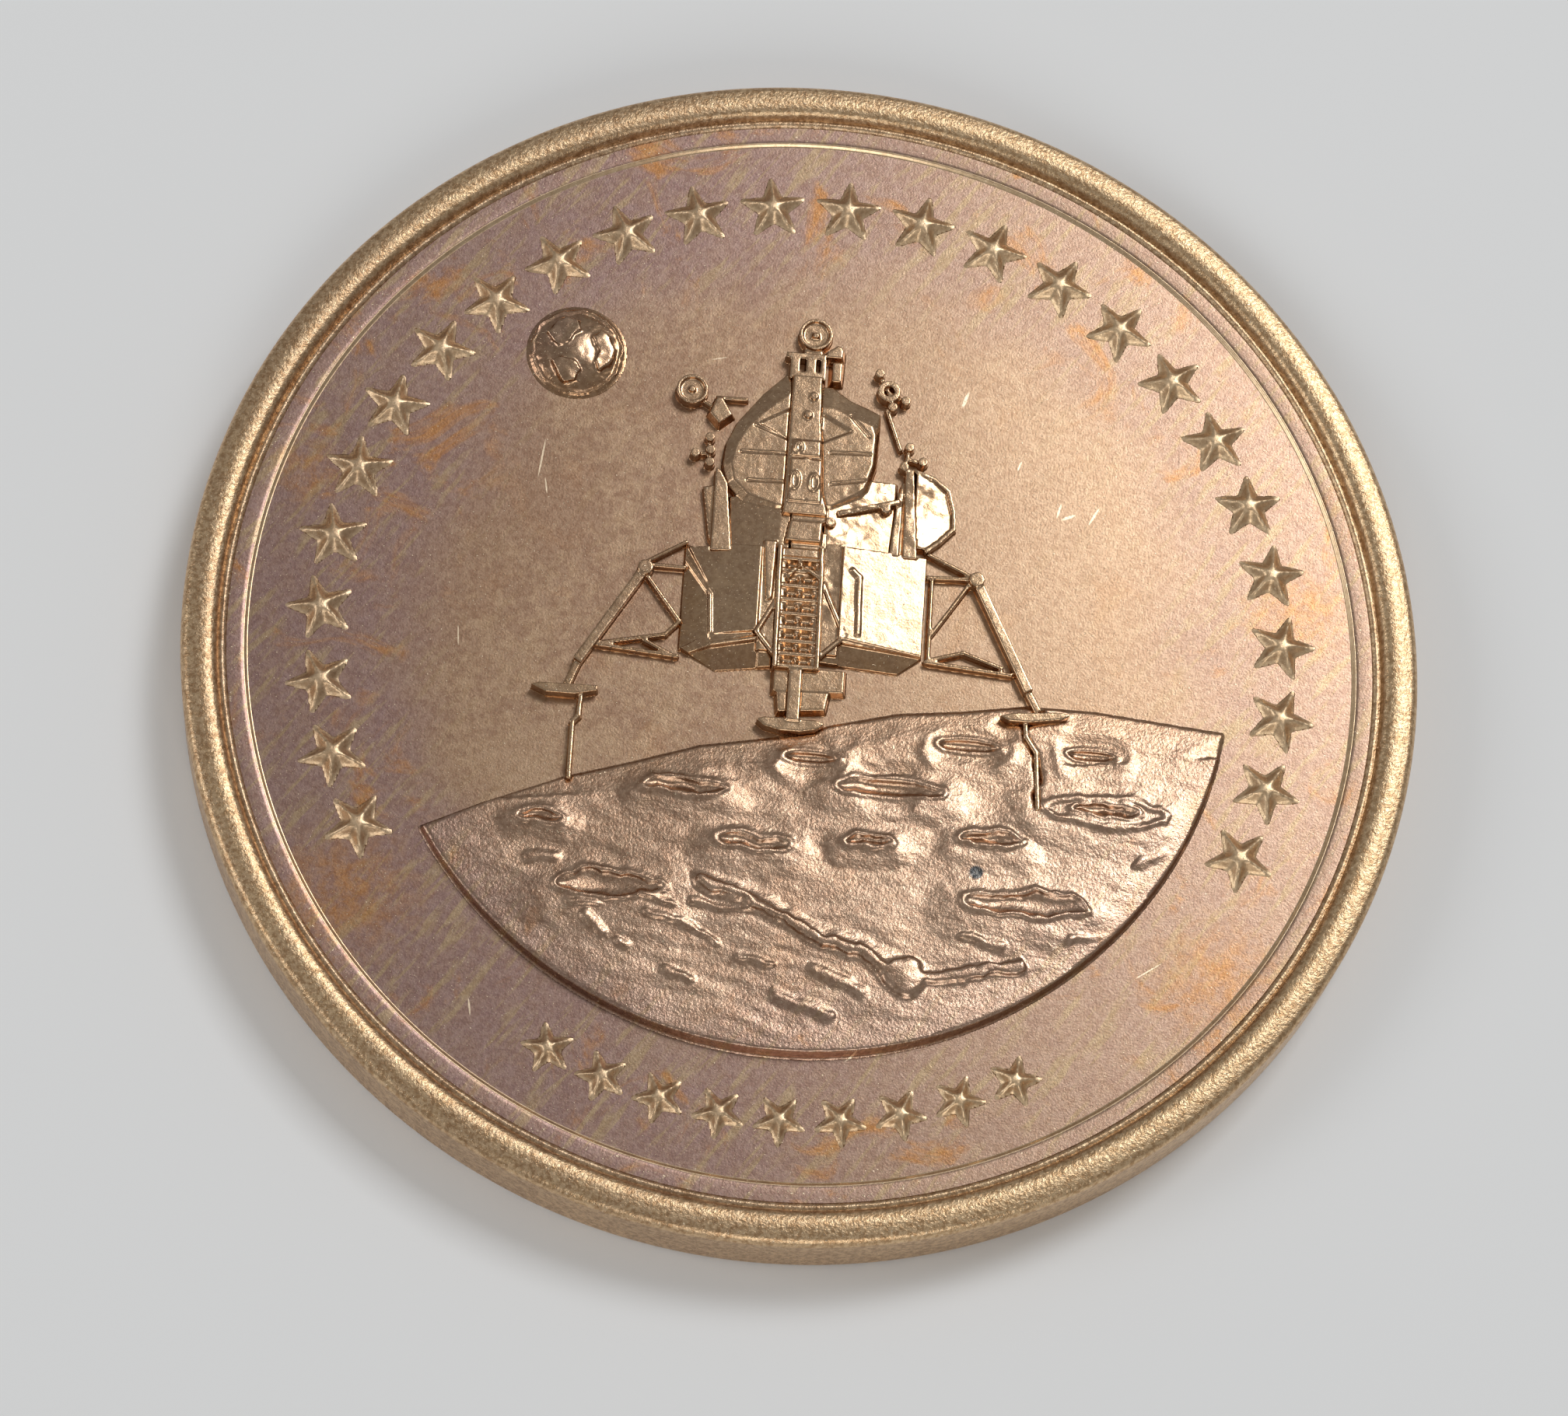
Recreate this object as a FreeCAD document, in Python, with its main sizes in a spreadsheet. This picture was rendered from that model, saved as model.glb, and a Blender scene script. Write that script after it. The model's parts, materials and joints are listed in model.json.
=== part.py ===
"""Struck bronze medal, 1.5 inches across, with a lunar lander in relief on its obverse.

Frame: millimetres, +Z out of the obverse, +Y up the picture, +X to its right. The origin
is the centre of the underside, where the reverse rim rests. The flan, its rims and its
lines are rings about Z. Each form of the relief is a solid of its own, seated face to
face on the field, and a form that stands behind another is cut back where that one begins.
"""
import FreeCAD, Part
import math
import os
import Sketcher

Vector = FreeCAD.Vector
X_AXIS = Vector(1, 0, 0)
Y_AXIS = Vector(0, 1, 0)

# Driving dimensions in millimetres, with angles in degrees and counts where the name says so
SIZES = {
    # Flan, rims and lines
    "medal_radius": 19.05,
    "flan_thick": 1.75,
    "obverse_rim_high": 0.5,
    "reverse_rim_high": 0.35,
    "rim_wide": 1.15,
    "rim_outer_round": 0.3,
    "rim_inner_round": 0.1,
    "ledge_wide": 0.83,
    "ledge_high": 0.12,
    "border_line_wide": 0.16,
    "border_line_high": 0.22,
    "reverse_line_clear": 1.0,
    # Walls of the relief lean back by this much so that the die lets go
    "wall_draft_degrees": 12,
    # Stars in the place of the legend and of the date, each clear of the border line
    "legend_clear": 1.1,
    "legend_star_radius": 1.12,
    "legend_star_high": 0.34,
    "legend_star_count": 26,
    "legend_first_degrees": -23,
    "legend_sweep_degrees": 231,
    "date_clear": 1.07,
    "date_star_radius": 0.85,
    "date_star_high": 0.3,
    "date_star_count": 9,
    "date_first_degrees": 243,
    "date_sweep_degrees": 55,
    # Ground, which rises towards the viewer, and globe
    "ground_inset": 3.87,
    "ground_high": 0.12,
    "ground_wall_high": 0.8,
    "ground_slope_degrees": 1.4,
    "crater_rim_high": 0.06,
    "crater_rim_wide": 0.13,
    "crater_deep": 0.14,
    "ridge_high": 0.14,
    "ridge_wide": 0.3,
    "knoll_radius": 0.62,
    "globe_clear": 0.17,
    "globe_degrees": 130,
    "globe_radius": 1.6,
    "globe_high": 0.28,
    "land_high": 0.34,
    # Lander: the room over its masthead, under the legend, sets the size of the drawing, and
    # the widths and radii below are those of a drawing that rises as high as lander_rise
    "lander_headroom": 3.73,
    "lander_rise": 10,
    "column_high": 0.62,
    "panel_proud": 0.07,
    "window_frame_wide": 0.05,
    "window_frame_proud": 0.11,
    "window_deep": 0.06,
    "stud_radius": 0.12,
    "knob_radius": 0.1,
    "cabin_high": 0.5,
    "cabin_eaves_high": 0.3,
    "mid_body_high": 0.42,
    "mid_body_slope_degrees": 5,
    "porch_high": 0.66,
    "masthead_high": 0.46,
    "dish_radius": 0.53,
    "dish_high": 0.3,
    "dish_rim_wide": 0.11,
    "dish_rim_high": 0.42,
    "small_dish_radius": 0.5,
    "thruster_high": 0.42,
    "nozzle_radius": 0.15,
    "shroud_radius": 0.36,
    "shroud_hole_radius": 0.17,
    "plate_high": 0.4,
    "tank_high": 0.36,
    "tank_slope_degrees": 8,
    "tank_edge_wide": 0.13,
    "tank_edge_high": 0.34,
    "boom_wide": 0.17,
    "boom_high": 0.52,
    "deck_high": 0.54,
    "deck_slope_degrees": 4.5,
    "left_deck_high": 0.5,
    "left_deck_slope_degrees": 6,
    "side_high": 0.32,
    "side_slope_degrees": 12,
    "underside_high": 0.33,
    "underside_slope_degrees": 9,
    "rib_wide": 0.14,
    "rib_proud": 0.07,
    "ladder_rail_wide": 0.13,
    "ladder_rail_high": 0.6,
    "ladder_rung_wide": 0.12,
    "ladder_rung_high": 0.54,
    "ladder_web_high": 0.46,
    "brace_wide": 0.14,
    "brace_high": 0.5,
    "bell_high": 0.34,
    "front_leg_wide": 0.4,
    "front_leg_high": 0.52,
    "leg_wide": 0.3,
    "leg_high": 0.4,
    "knee_radius": 0.24,
    "knee_high": 0.46,
    "shin_wide": 0.24,
    "strut_wide": 0.13,
    "strut_high": 0.28,
    "pad_high": 0.46,
    "probe_wide": 0.14,
    "probe_high": 0.38,
    # Wreath on the reverse
    "wreath_clear": 5.3,
    "wreath_high": 0.2,
    "wreath_stem_wide": 0.3,
    "wreath_leaf_long": 2.3,
    "wreath_leaf_count": 13,
    "wreath_first_degrees": 12,
    "wreath_sweep_degrees": 140,
    "wreath_tip_degrees": 2,
    "wreath_leaf_lean_degrees": 38,
    "wreath_tie_radius": 0.75,
}

doc = FreeCAD.newDocument("Medal")
sheet = doc.addObject("Spreadsheet::Sheet", "Sizes")
for row, (size_name, value) in enumerate(SIZES.items(), start=1):
    sheet.set(f"A{row}", size_name)
    sheet.set(f"B{row}", str(value))
    sheet.setAlias(f"B{row}", size_name)
doc.recompute()

# Places that follow from the driving dimensions
FIELD = "Sizes.reverse_rim_high + Sizes.flan_thick"
RIM_INNER = "(Sizes.medal_radius - Sizes.rim_wide)"
LEDGE_INNER = f"({RIM_INNER} - Sizes.ledge_wide)"
LEGEND_RADIUS = f"({LEDGE_INNER} - Sizes.legend_clear - Sizes.legend_star_radius)"
LEGEND_INNER = f"({LEGEND_RADIUS} - Sizes.legend_star_radius)"
DATE_RADIUS = f"({LEDGE_INNER} - Sizes.date_clear - Sizes.date_star_radius)"
GROUND_RADIUS = f"({LEDGE_INNER} - Sizes.ground_inset)"
GLOBE_ORBIT = f"({LEGEND_INNER} - Sizes.globe_clear - Sizes.globe_radius)"
REVERSE_LINE_INNER = f"({RIM_INNER} - Sizes.reverse_line_clear)"
WREATH_RADIUS = f"({REVERSE_LINE_INNER} - Sizes.wreath_clear)"
DRAFT = "-Sizes.wall_draft_degrees"

# The masthead's height over the medal's centre, which the whole drawing is a share of
RISE = f"({LEGEND_INNER} - Sizes.lander_headroom)"
SCALE = f"({RISE} / Sizes.lander_rise)"

# Shapes that are drawn as shares of a size of their own
STAR_WAIST_SHARE = 0.42
STAR_CREST_SHARE = 0.3
STAR_POINTS = 5
OVAL_CORNERS = 20
leaf_shares = ((0, 0), (0.2, 0.11), (0.5, 0.17), (0.8, 0.1), (1, 0))
leaf_shares += ((0.8, -0.1), (0.5, -0.17), (0.2, -0.11))


def origin_part(body, role):
    """The plane or axis of the body's own origin that has this role."""
    return next(feature for feature in body.Origin.OriginFeatures if feature.Role == role)


def new_sketch(body, role="XY_Plane"):
    """An empty sketch on one of the body's own planes."""
    sketch = body.newObject("Sketcher::SketchObject", "Outline")
    sketch.AttachmentSupport = (origin_part(body, role), [""])
    sketch.MapMode = "FlatFace"
    return sketch


def draw_polygon(sketch, corners):
    """A closed outline whose corners are pairs of expressions in the sheet's sizes."""
    places = [tuple(float(sheet.evalExpression(text)) for text in corner) for corner in corners]
    first = len(sketch.Geometry)
    count = len(places)
    for index, place in enumerate(places):
        following = places[(index + 1) % count]
        sketch.addGeometry(Part.LineSegment(Vector(*place, 0), Vector(*following, 0)), False)
    for index in range(count):
        following = first + (index + 1) % count
        sketch.addConstraint(Sketcher.Constraint("Coincident", first + index, 2, following, 1))
    for index, (corner, place) in enumerate(zip(corners, places)):
        for kind, text, number in zip(("DistanceX", "DistanceY"), corner, place):
            held = sketch.addConstraint(Sketcher.Constraint(kind, -1, 1, first + index, 1, number))
            sketch.setExpression(f"Constraints[{held}]", text)


def drawn(shares, size=RISE):
    """Corners of an outline given as shares of one size."""
    return [(f"{size} * {across}", f"{size} * {up}") for across, up in shares]


def relief(name, level=FIELD):
    """An empty body that stands on the field, or on the level given."""
    body = doc.addObject("PartDesign::Body", name)
    body.setExpression("Placement.Base.z", level)
    return body


def pad(body, sketch, high, draft=DRAFT):
    """Raises a sketch by a named height, with its walls leaning back."""
    feature = body.newObject("PartDesign::Pad", "Pad")
    feature.Profile = sketch
    feature.setExpression("Length", high)
    if draft:
        feature.setExpression("TaperAngle", draft)
    body.Tip = feature
    sketch.Visibility = False
    return feature


def face(body, shares, high, draft=DRAFT):
    """Raises one outline of the picture."""
    sketch = new_sketch(body)
    draw_polygon(sketch, drawn(shares))
    return pad(body, sketch, high, draft)


def bar(body, start_share, end_share, wide, high):
    """Raises a straight bar that runs from one point of the picture to another."""
    along = math.hypot(end_share[0] - start_share[0], end_share[1] - start_share[1])
    turn = math.degrees(math.atan2(end_share[1] - start_share[1], end_share[0] - start_share[0]))
    sketch = new_sketch(body)
    sketch.AttachmentOffset = FreeCAD.Placement(Vector(), FreeCAD.Rotation(Vector(0, 0, 1), turn))
    sketch.setExpression("AttachmentOffset.Base.x", f"{RISE} * {start_share[0]}")
    sketch.setExpression("AttachmentOffset.Base.y", f"{RISE} * {start_share[1]}")
    half_wide = f"{wide} * {SCALE} / 2"
    near, far = f"-{half_wide}", f"{RISE} * {along} + {half_wide}"
    low, top = f"-{half_wide}", half_wide
    draw_polygon(sketch, [(near, low), (far, low), (far, top), (near, top)])
    return pad(body, sketch, high, draft=None)


def round_boss(body, centre_share, radius, high, hole_radius=None):
    """Raises a round boss or, with a hole, a ring at a point of the picture."""
    sketch = new_sketch(body)
    centre = [f"{RISE} * {share}" for share in centre_share]
    place = Vector(*(float(sheet.evalExpression(text)) for text in centre), 0)
    for size in (radius, hole_radius):
        if size is None:
            continue
        size = f"({size}) * {SCALE}"
        number = float(sheet.evalExpression(size))
        circle = sketch.addGeometry(Part.Circle(place, Vector(0, 0, 1), number), False)
        for kind, text, at in (("DistanceX", centre[0], place.x), ("DistanceY", centre[1], place.y)):
            held = sketch.addConstraint(Sketcher.Constraint(kind, -1, 1, circle, 3, at))
            sketch.setExpression(f"Constraints[{held}]", text)
        held = sketch.addConstraint(Sketcher.Constraint("Radius", circle, number))
        sketch.setExpression(f"Constraints[{held}]", size)
    return pad(body, sketch, high, draft=None)


def oval_shares(centre_share, half_wide_share, half_tall_share):
    """Corners of an oval, as shares of the drawing."""
    angles = [2 * math.pi * corner / OVAL_CORNERS for corner in range(OVAL_CORNERS)]
    across = [centre_share[0] + half_wide_share * math.cos(angle) for angle in angles]
    up = [centre_share[1] + half_tall_share * math.sin(angle) for angle in angles]
    return list(zip(across, up))


def window_frame(body, centre_share, half_wide_share, half_tall_share):
    """Raises a narrow oval frame on a panel."""
    sketch = new_sketch(body)
    outline = oval_shares(centre_share, half_wide_share, half_tall_share)
    draw_polygon(sketch, drawn(outline))
    opening = []
    for across, up in outline:
        reach = math.hypot(across - centre_share[0], up - centre_share[1])
        inward_x, inward_y = (across - centre_share[0]) / reach, (up - centre_share[1]) / reach
        wide = f"Sizes.window_frame_wide * {SCALE}"
        opening.append((f"{RISE} * {across} - {wide} * {inward_x}", f"{RISE} * {up} - {wide} * {inward_y}"))
    draw_polygon(sketch, opening)
    return pad(body, sketch, "Sizes.window_frame_proud", draft=None)


def lean(thing, level, hinge_share, axis, slope):
    """Places a thing so that its own base plane leans about an axis through a point of the picture."""
    thing.Placement = FreeCAD.Placement(Vector(), FreeCAD.Rotation(axis, 1))
    thing.setExpression("Placement.Base.x", f"{RISE} * {hinge_share[0]}")
    thing.setExpression("Placement.Base.y", f"{RISE} * {hinge_share[1]}")
    thing.setExpression("Placement.Base.z", f"{FIELD} + {level}")
    thing.setExpression("Placement.Rotation.Angle", slope)


def planed(piece, level, hinge_share, axis, slope):
    """A piece whose top is cut to a plane that leans about X or Y."""
    above = doc.addObject("PartDesign::Body", "Above")
    sketch = new_sketch(above)
    draw_polygon(sketch, drawn(((-2, -2), (2, -2), (2, 2), (-2, 2))))
    pad(above, sketch, RISE, draft=None)
    lean(above, level, hinge_share, axis, slope)
    cut = doc.addObject("Part::Cut", "Planed")
    cut.Base = piece
    cut.Tool = above
    name = piece.Label
    piece.Label = f"{name}_outline"
    cut.Label = name
    return cut


def ring(name, inner, outer, high, level, rounds=()):
    """A ring about Z, with rounds on the top edges that have the radii given."""
    body = relief(name, level)
    sketch = new_sketch(body, "XZ_Plane")
    draw_polygon(sketch, [(inner, "0"), (outer, "0"), (outer, high), (inner, high)])
    turned = body.newObject("PartDesign::Revolution", "Revolution")
    turned.Profile = sketch
    turned.ReferenceAxis = (sketch, ["V_Axis"])
    turned.Angle = 360
    body.Tip = turned
    for edge_radius, round_radius in rounds:
        doc.recompute()
        base = body.Tip
        radius = float(sheet.evalExpression(edge_radius))
        top = float(sheet.evalExpression(high))
        names = []
        for index, edge in enumerate(base.Shape.Edges, start=1):
            if not isinstance(edge.Curve, Part.Circle):
                continue
            centre = edge.Curve.Center
            if math.isclose(edge.Curve.Radius, radius) and math.isclose(centre.z, top):
                names.append(f"Edge{index}")
        rounded = body.newObject("PartDesign::Fillet", "Fillet")
        rounded.Base = (base, names)
        rounded.setExpression("Radius", round_radius)
        body.Tip = rounded
    return body


def star_row(name, orbit, star_radius, high, count, first_degrees, sweep_degrees):
    """Five-pointed stars with a small flat crest, set round an arc with one point outward."""
    body = relief(name)
    body.setExpression("Placement.Rotation.Angle", first_degrees)
    outlines = []
    for crest_share in (1, STAR_CREST_SHARE):
        corners = []
        for corner in range(2 * STAR_POINTS):
            reach_share = crest_share * (STAR_WAIST_SHARE if corner % 2 else 1)
            angle = math.pi * corner / STAR_POINTS
            across = f"{orbit} + {star_radius} * {reach_share * math.cos(angle)}"
            up = f"{star_radius} * {reach_share * math.sin(angle)}"
            corners.append((across, up))
        sketch = new_sketch(body)
        draw_polygon(sketch, corners)
        outlines.append(sketch)
    outlines[1].setExpression("AttachmentOffset.Base.z", high)
    star = body.newObject("PartDesign::AdditiveLoft", "Star")
    star.Profile = outlines[0]
    star.Sections = [outlines[1]]
    star.Ruled = True
    body.Tip = star
    doc.recompute()
    row = body.newObject("PartDesign::PolarPattern", "Row")
    row.Originals = [star]
    row.Axis = (origin_part(body, "Z_Axis"), [""])
    row.setExpression("Angle", sweep_degrees)
    row.setExpression("Occurrences", count)
    body.Tip = row
    return body


# Flan: the plain disc between the two fields, with a smooth cylindrical edge
flan = doc.addObject("Part::Cylinder", "medal_flan")
flan.setExpression("Radius", "Sizes.medal_radius")
flan.setExpression("Height", "Sizes.flan_thick")
flan.setExpression("Placement.Base.z", "Sizes.reverse_rim_high")

# Rims, ledge and border lines of both faces
LINE_OUTER = f"{LEDGE_INNER} + Sizes.border_line_wide"
rim_rounds = (("Sizes.medal_radius", "Sizes.rim_outer_round"), (RIM_INNER, "Sizes.rim_inner_round"))
obverse_rim = ring(
    "obverse_rim",
    RIM_INNER,
    "Sizes.medal_radius",
    "Sizes.obverse_rim_high",
    FIELD,
    rim_rounds,
)
obverse_ledge = ring("obverse_ledge", LINE_OUTER, RIM_INNER, "Sizes.ledge_high", FIELD)
obverse_line = ring("obverse_border_line", LEDGE_INNER, LINE_OUTER, "Sizes.border_line_high", FIELD)

reverse_rim = ring(
    "reverse_rim",
    RIM_INNER,
    "Sizes.medal_radius",
    "Sizes.reverse_rim_high",
    "Sizes.reverse_rim_high",
    rim_rounds,
)
REVERSE_LINE_OUTER = f"{REVERSE_LINE_INNER} + Sizes.border_line_wide"
reverse_line = ring(
    "reverse_border_line",
    REVERSE_LINE_INNER,
    REVERSE_LINE_OUTER,
    "Sizes.wreath_high",
    "Sizes.reverse_rim_high",
)
for body in (reverse_rim, reverse_line):
    body.Placement.Rotation = FreeCAD.Rotation(Vector(0, 1, 0), 180)

# Laurel wreath on the reverse: one branch, its mirror image and the tie that joins them
branch = doc.addObject("PartDesign::Body", "Branch")
leaves = []
for side in (1, -1):
    leaf_sketch = new_sketch(branch)
    draw_polygon(leaf_sketch, drawn(leaf_shares, "Sizes.wreath_leaf_long"))
    leaf_sketch.AttachmentOffset = FreeCAD.Placement(Vector(), FreeCAD.Rotation(Vector(0, 0, 1), 90))
    leaf_sketch.setExpression("AttachmentOffset.Base.x", WREATH_RADIUS)
    leaf_turn = f"90 - {side} * Sizes.wreath_leaf_lean_degrees"
    leaf_sketch.setExpression("AttachmentOffset.Rotation.Angle", leaf_turn)
    leaves.append(pad(branch, leaf_sketch, "Sizes.wreath_high", draft=None))
doc.recompute()
garland = branch.newObject("PartDesign::PolarPattern", "Garland")
garland.Originals = leaves
garland.Axis = (origin_part(branch, "Z_Axis"), [""])
garland.setExpression("Angle", "Sizes.wreath_sweep_degrees")
garland.setExpression("Occurrences", "Sizes.wreath_leaf_count")
branch.Tip = garland
stem_sketch = new_sketch(branch, "XZ_Plane")
STEM_INNER = f"{WREATH_RADIUS} - Sizes.wreath_stem_wide / 2"
STEM_OUTER = f"{WREATH_RADIUS} + Sizes.wreath_stem_wide / 2"
stem_corners = [(STEM_INNER, "0"), (STEM_OUTER, "0")]
stem_corners += [(STEM_OUTER, "Sizes.wreath_high"), (STEM_INNER, "Sizes.wreath_high")]
draw_polygon(stem_sketch, stem_corners)
stem = branch.newObject("PartDesign::Revolution", "Stem")
stem.Profile = stem_sketch
stem.ReferenceAxis = (stem_sketch, ["V_Axis"])
stem.Type = "TwoAngles"
stem.setExpression("Angle", "Sizes.wreath_sweep_degrees + Sizes.wreath_tip_degrees")
stem.setExpression("Angle2", "Sizes.wreath_first_degrees")
branch.Tip = stem
branch.Placement.Rotation = FreeCAD.Rotation(Vector(0, 0, 1), -90)
branch.setExpression("Placement.Rotation.Angle", "Sizes.wreath_first_degrees - 90")
mirrored = doc.addObject("Part::Mirroring", "OtherBranch")
mirrored.Source = branch
mirrored.Normal = Vector(1, 0, 0)
tie = doc.addObject("Part::Cylinder", "Tie")
tie.setExpression("Radius", "Sizes.wreath_tie_radius")
tie.setExpression("Height", "Sizes.wreath_high")
tie.setExpression("Placement.Base.y", f"-{WREATH_RADIUS}")
wreath = doc.addObject("Part::MultiFuse", "reverse_wreath")
wreath.Shapes = [branch, mirrored, tie]
wreath.Placement.Rotation = FreeCAD.Rotation(Vector(0, 1, 0), 180)
wreath.setExpression("Placement.Base.z", "Sizes.reverse_rim_high")

# Stars where a legend and a date would stand
legend_stars = star_row(
    "legend_star_arc",
    LEGEND_RADIUS,
    "Sizes.legend_star_radius",
    "Sizes.legend_star_high",
    "Sizes.legend_star_count",
    "Sizes.legend_first_degrees",
    "Sizes.legend_sweep_degrees",
)
date_stars = star_row(
    "date_star_row",
    DATE_RADIUS,
    "Sizes.date_star_radius",
    "Sizes.date_star_high",
    "Sizes.date_star_count",
    "Sizes.date_first_degrees",
    "Sizes.date_sweep_degrees",
)

# The lander, from the front of the picture to the back, in shares of its rise
relief_pieces = []

# Ladder: two rails, its rungs, the step at its foot and the leg's fairing behind the rungs
ladder = relief("ladder")
rail_shares = (((-0.095, 0.3), (-0.09, -0.09)), ((0.035, 0.3), (0.04, -0.09)))
for start, end in rail_shares:
    bar(ladder, start, end, "Sizes.ladder_rail_wide", "Sizes.ladder_rail_high")
rung_shares = (0.265, 0.225, 0.175, 0.13, 0.083, 0.036, -0.008, -0.05, -0.09)
for height_share in rung_shares:
    rung = ((-0.09, height_share), (0.037, height_share))
    bar(ladder, *rung, "Sizes.ladder_rung_wide", "Sizes.ladder_rung_high")
gable_shares = ((-0.065, 0.205), (-0.032, 0.248), (0.03, 0.205))
for start, end in zip(gable_shares, gable_shares[1:]):
    bar(ladder, start, end, "Sizes.ladder_rung_wide", "Sizes.ladder_rail_high")
web_shares = ((-0.093, 0.3), (0.036, 0.3), (0.038, -0.09), (-0.09, -0.09))
face(ladder, web_shares, "Sizes.ladder_web_high", draft=None)
relief_pieces.append(ladder)

# Porch: the block that juts out under the hatch, over the ladder's head
porch = relief("porch")
face(porch, ((-0.095, 0.308), (0.041, 0.308), (0.043, 0.4), (-0.08, 0.4)), "Sizes.porch_high")
round_boss(porch, (0.055, 0.394), "Sizes.nozzle_radius", "Sizes.column_high")
relief_pieces.append(porch)

# Front leg: one upright strut under the ladder and its round pad seen edge on
front_leg = relief("front_leg")
bar(front_leg, (-0.024, -0.12), (-0.024, -0.245), "Sizes.front_leg_wide", "Sizes.front_leg_high")
relief_pieces.append(front_leg)
front_pad = relief("front_footpad")
pad_shares = ((-0.135, -0.268), (-0.11, -0.288), (-0.06, -0.299), (0, -0.299))
pad_shares += ((0.05, -0.288), (0.076, -0.268), (0.05, -0.258), (-0.11, -0.258))
face(front_pad, pad_shares, "Sizes.pad_high", draft=None)
relief_pieces.append(front_pad)

# Ascent column: the upright front of the cabin, with its head cut by two slots
column = relief("ascent_column")
column_shares = ((-0.099, 0.89), (-0.102, 0.71), (-0.106, 0.4), (0.053, 0.4), (0.055, 0.419))
column_shares += ((0.034, 0.497), (0.026, 0.647), (0.018, 0.726), (0.014, 0.89))
face(column, column_shares, "Sizes.column_high")
relief_pieces.append(column)
column_head = relief("column_head")
for left_share, right_share in ((-0.099, -0.069), (-0.05, -0.017), (-0.004, 0.014)):
    head = ((left_share, 0.89), (right_share, 0.89), (right_share, 0.947), (left_share, 0.947))
    face(column_head, head, "Sizes.masthead_high", draft=None)
sill = ((-0.099, 0.875), (0.014, 0.875), (0.014, 0.9), (-0.099, 0.9))
face(column_head, sill, "Sizes.masthead_high", draft=None)
relief_pieces.append(column_head)

# Masthead: the platform bar, the rounded box beside it and the post under the box
masthead = relief("masthead")
platform_shares = ((-0.113, 0.945), (0.012, 0.945), (0.012, 0.964), (-0.113, 0.964))
face(masthead, platform_shares, "Sizes.masthead_high", draft=None)
box_shares = ((0.005, 0.947), (0.073, 0.947), (0.074, 0.985), (0.064, 1.004), (0.044, 1.008), (0.005, 0.98))
face(masthead, box_shares, "Sizes.masthead_high")
face(masthead, ((0.026, 0.869), (0.07, 0.869), (0.073, 0.95), (0.026, 0.95)), "Sizes.plate_high")
relief_pieces.append(masthead)

# Dish at the top: a round face with a raised rim, its feed and the neck under it
top_dish = relief("radar_dish")
top_dish_centre = (-0.024, 1.034)
round_boss(top_dish, top_dish_centre, "Sizes.dish_radius", "Sizes.dish_high")
INNER_EDGE = "Sizes.dish_radius - Sizes.dish_rim_wide"
round_boss(top_dish, top_dish_centre, "Sizes.dish_radius", "Sizes.dish_rim_high", INNER_EDGE)
face(top_dish, ((-0.045, 1.015), (-0.005, 1.015), (-0.008, 1.045), (-0.04, 1.045)), "Sizes.dish_rim_high")
face(top_dish, ((-0.065, 0.96), (0.01, 0.96), (0.005, 0.995), (-0.06, 0.995)), "Sizes.dish_high")
relief_pieces.append(top_dish)

# Left antenna: a dish on an arm, the box of its drive and the strut back to the cabin
side_dish = relief("steerable_antenna")
side_dish_centre = (-0.4, 0.811)
round_boss(side_dish, side_dish_centre, "Sizes.small_dish_radius", "Sizes.dish_high")
SMALL_INNER_EDGE = "Sizes.small_dish_radius - Sizes.dish_rim_wide"
round_boss(side_dish, side_dish_centre, "Sizes.small_dish_radius", "Sizes.dish_rim_high", SMALL_INNER_EDGE)
round_boss(side_dish, side_dish_centre, "Sizes.knob_radius", "Sizes.dish_rim_high")
relief_pieces.append(side_dish)
antenna_arm = relief("antenna_arm")
bar(antenna_arm, (-0.362, 0.78), (-0.335, 0.765), "Sizes.strut_wide", "Sizes.strut_high")
bar(antenna_arm, (-0.318, 0.795), (-0.23, 0.797), "Sizes.strut_wide", "Sizes.strut_high")
drive_shares = ((-0.35, 0.735), (-0.325, 0.8), (-0.3, 0.8), (-0.26, 0.735), (-0.31, 0.692))
face(antenna_arm, drive_shares, "Sizes.plate_high")
relief_pieces.append(antenna_arm)

# Thruster clusters: a small block with four nozzles about it
thruster_shares = {
    "thruster_left": (
        (-0.335, 0.605),
        ((-0.377, 0.597), (-0.33, 0.612), (-0.334, 0.654), (-0.33, 0.57)),
    ),
    "thruster_right": ((0.285, 0.64), ((0.29, 0.676), (0.334, 0.63), (0.276, 0.61))),
    "thruster_rear": ((0.216, 0.86), ((0.184, 0.919), (0.27, 0.833), (0.23, 0.808))),
}
for name, (centre, nozzle_centres) in thruster_shares.items():
    cluster = relief(name)
    for nozzle in nozzle_centres:
        bar(cluster, centre, nozzle, "Sizes.strut_wide", "Sizes.strut_high")
        round_boss(cluster, nozzle, "Sizes.nozzle_radius", "Sizes.thruster_high")
    if name == "thruster_rear":
        bar(cluster, (0.215, 0.8), (0.262, 0.672), "Sizes.strut_wide", "Sizes.strut_high")
        shroud = ("Sizes.shroud_radius", "Sizes.thruster_high", "Sizes.shroud_hole_radius")
        round_boss(cluster, centre, *shroud)
    relief_pieces.append(cluster)

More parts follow.
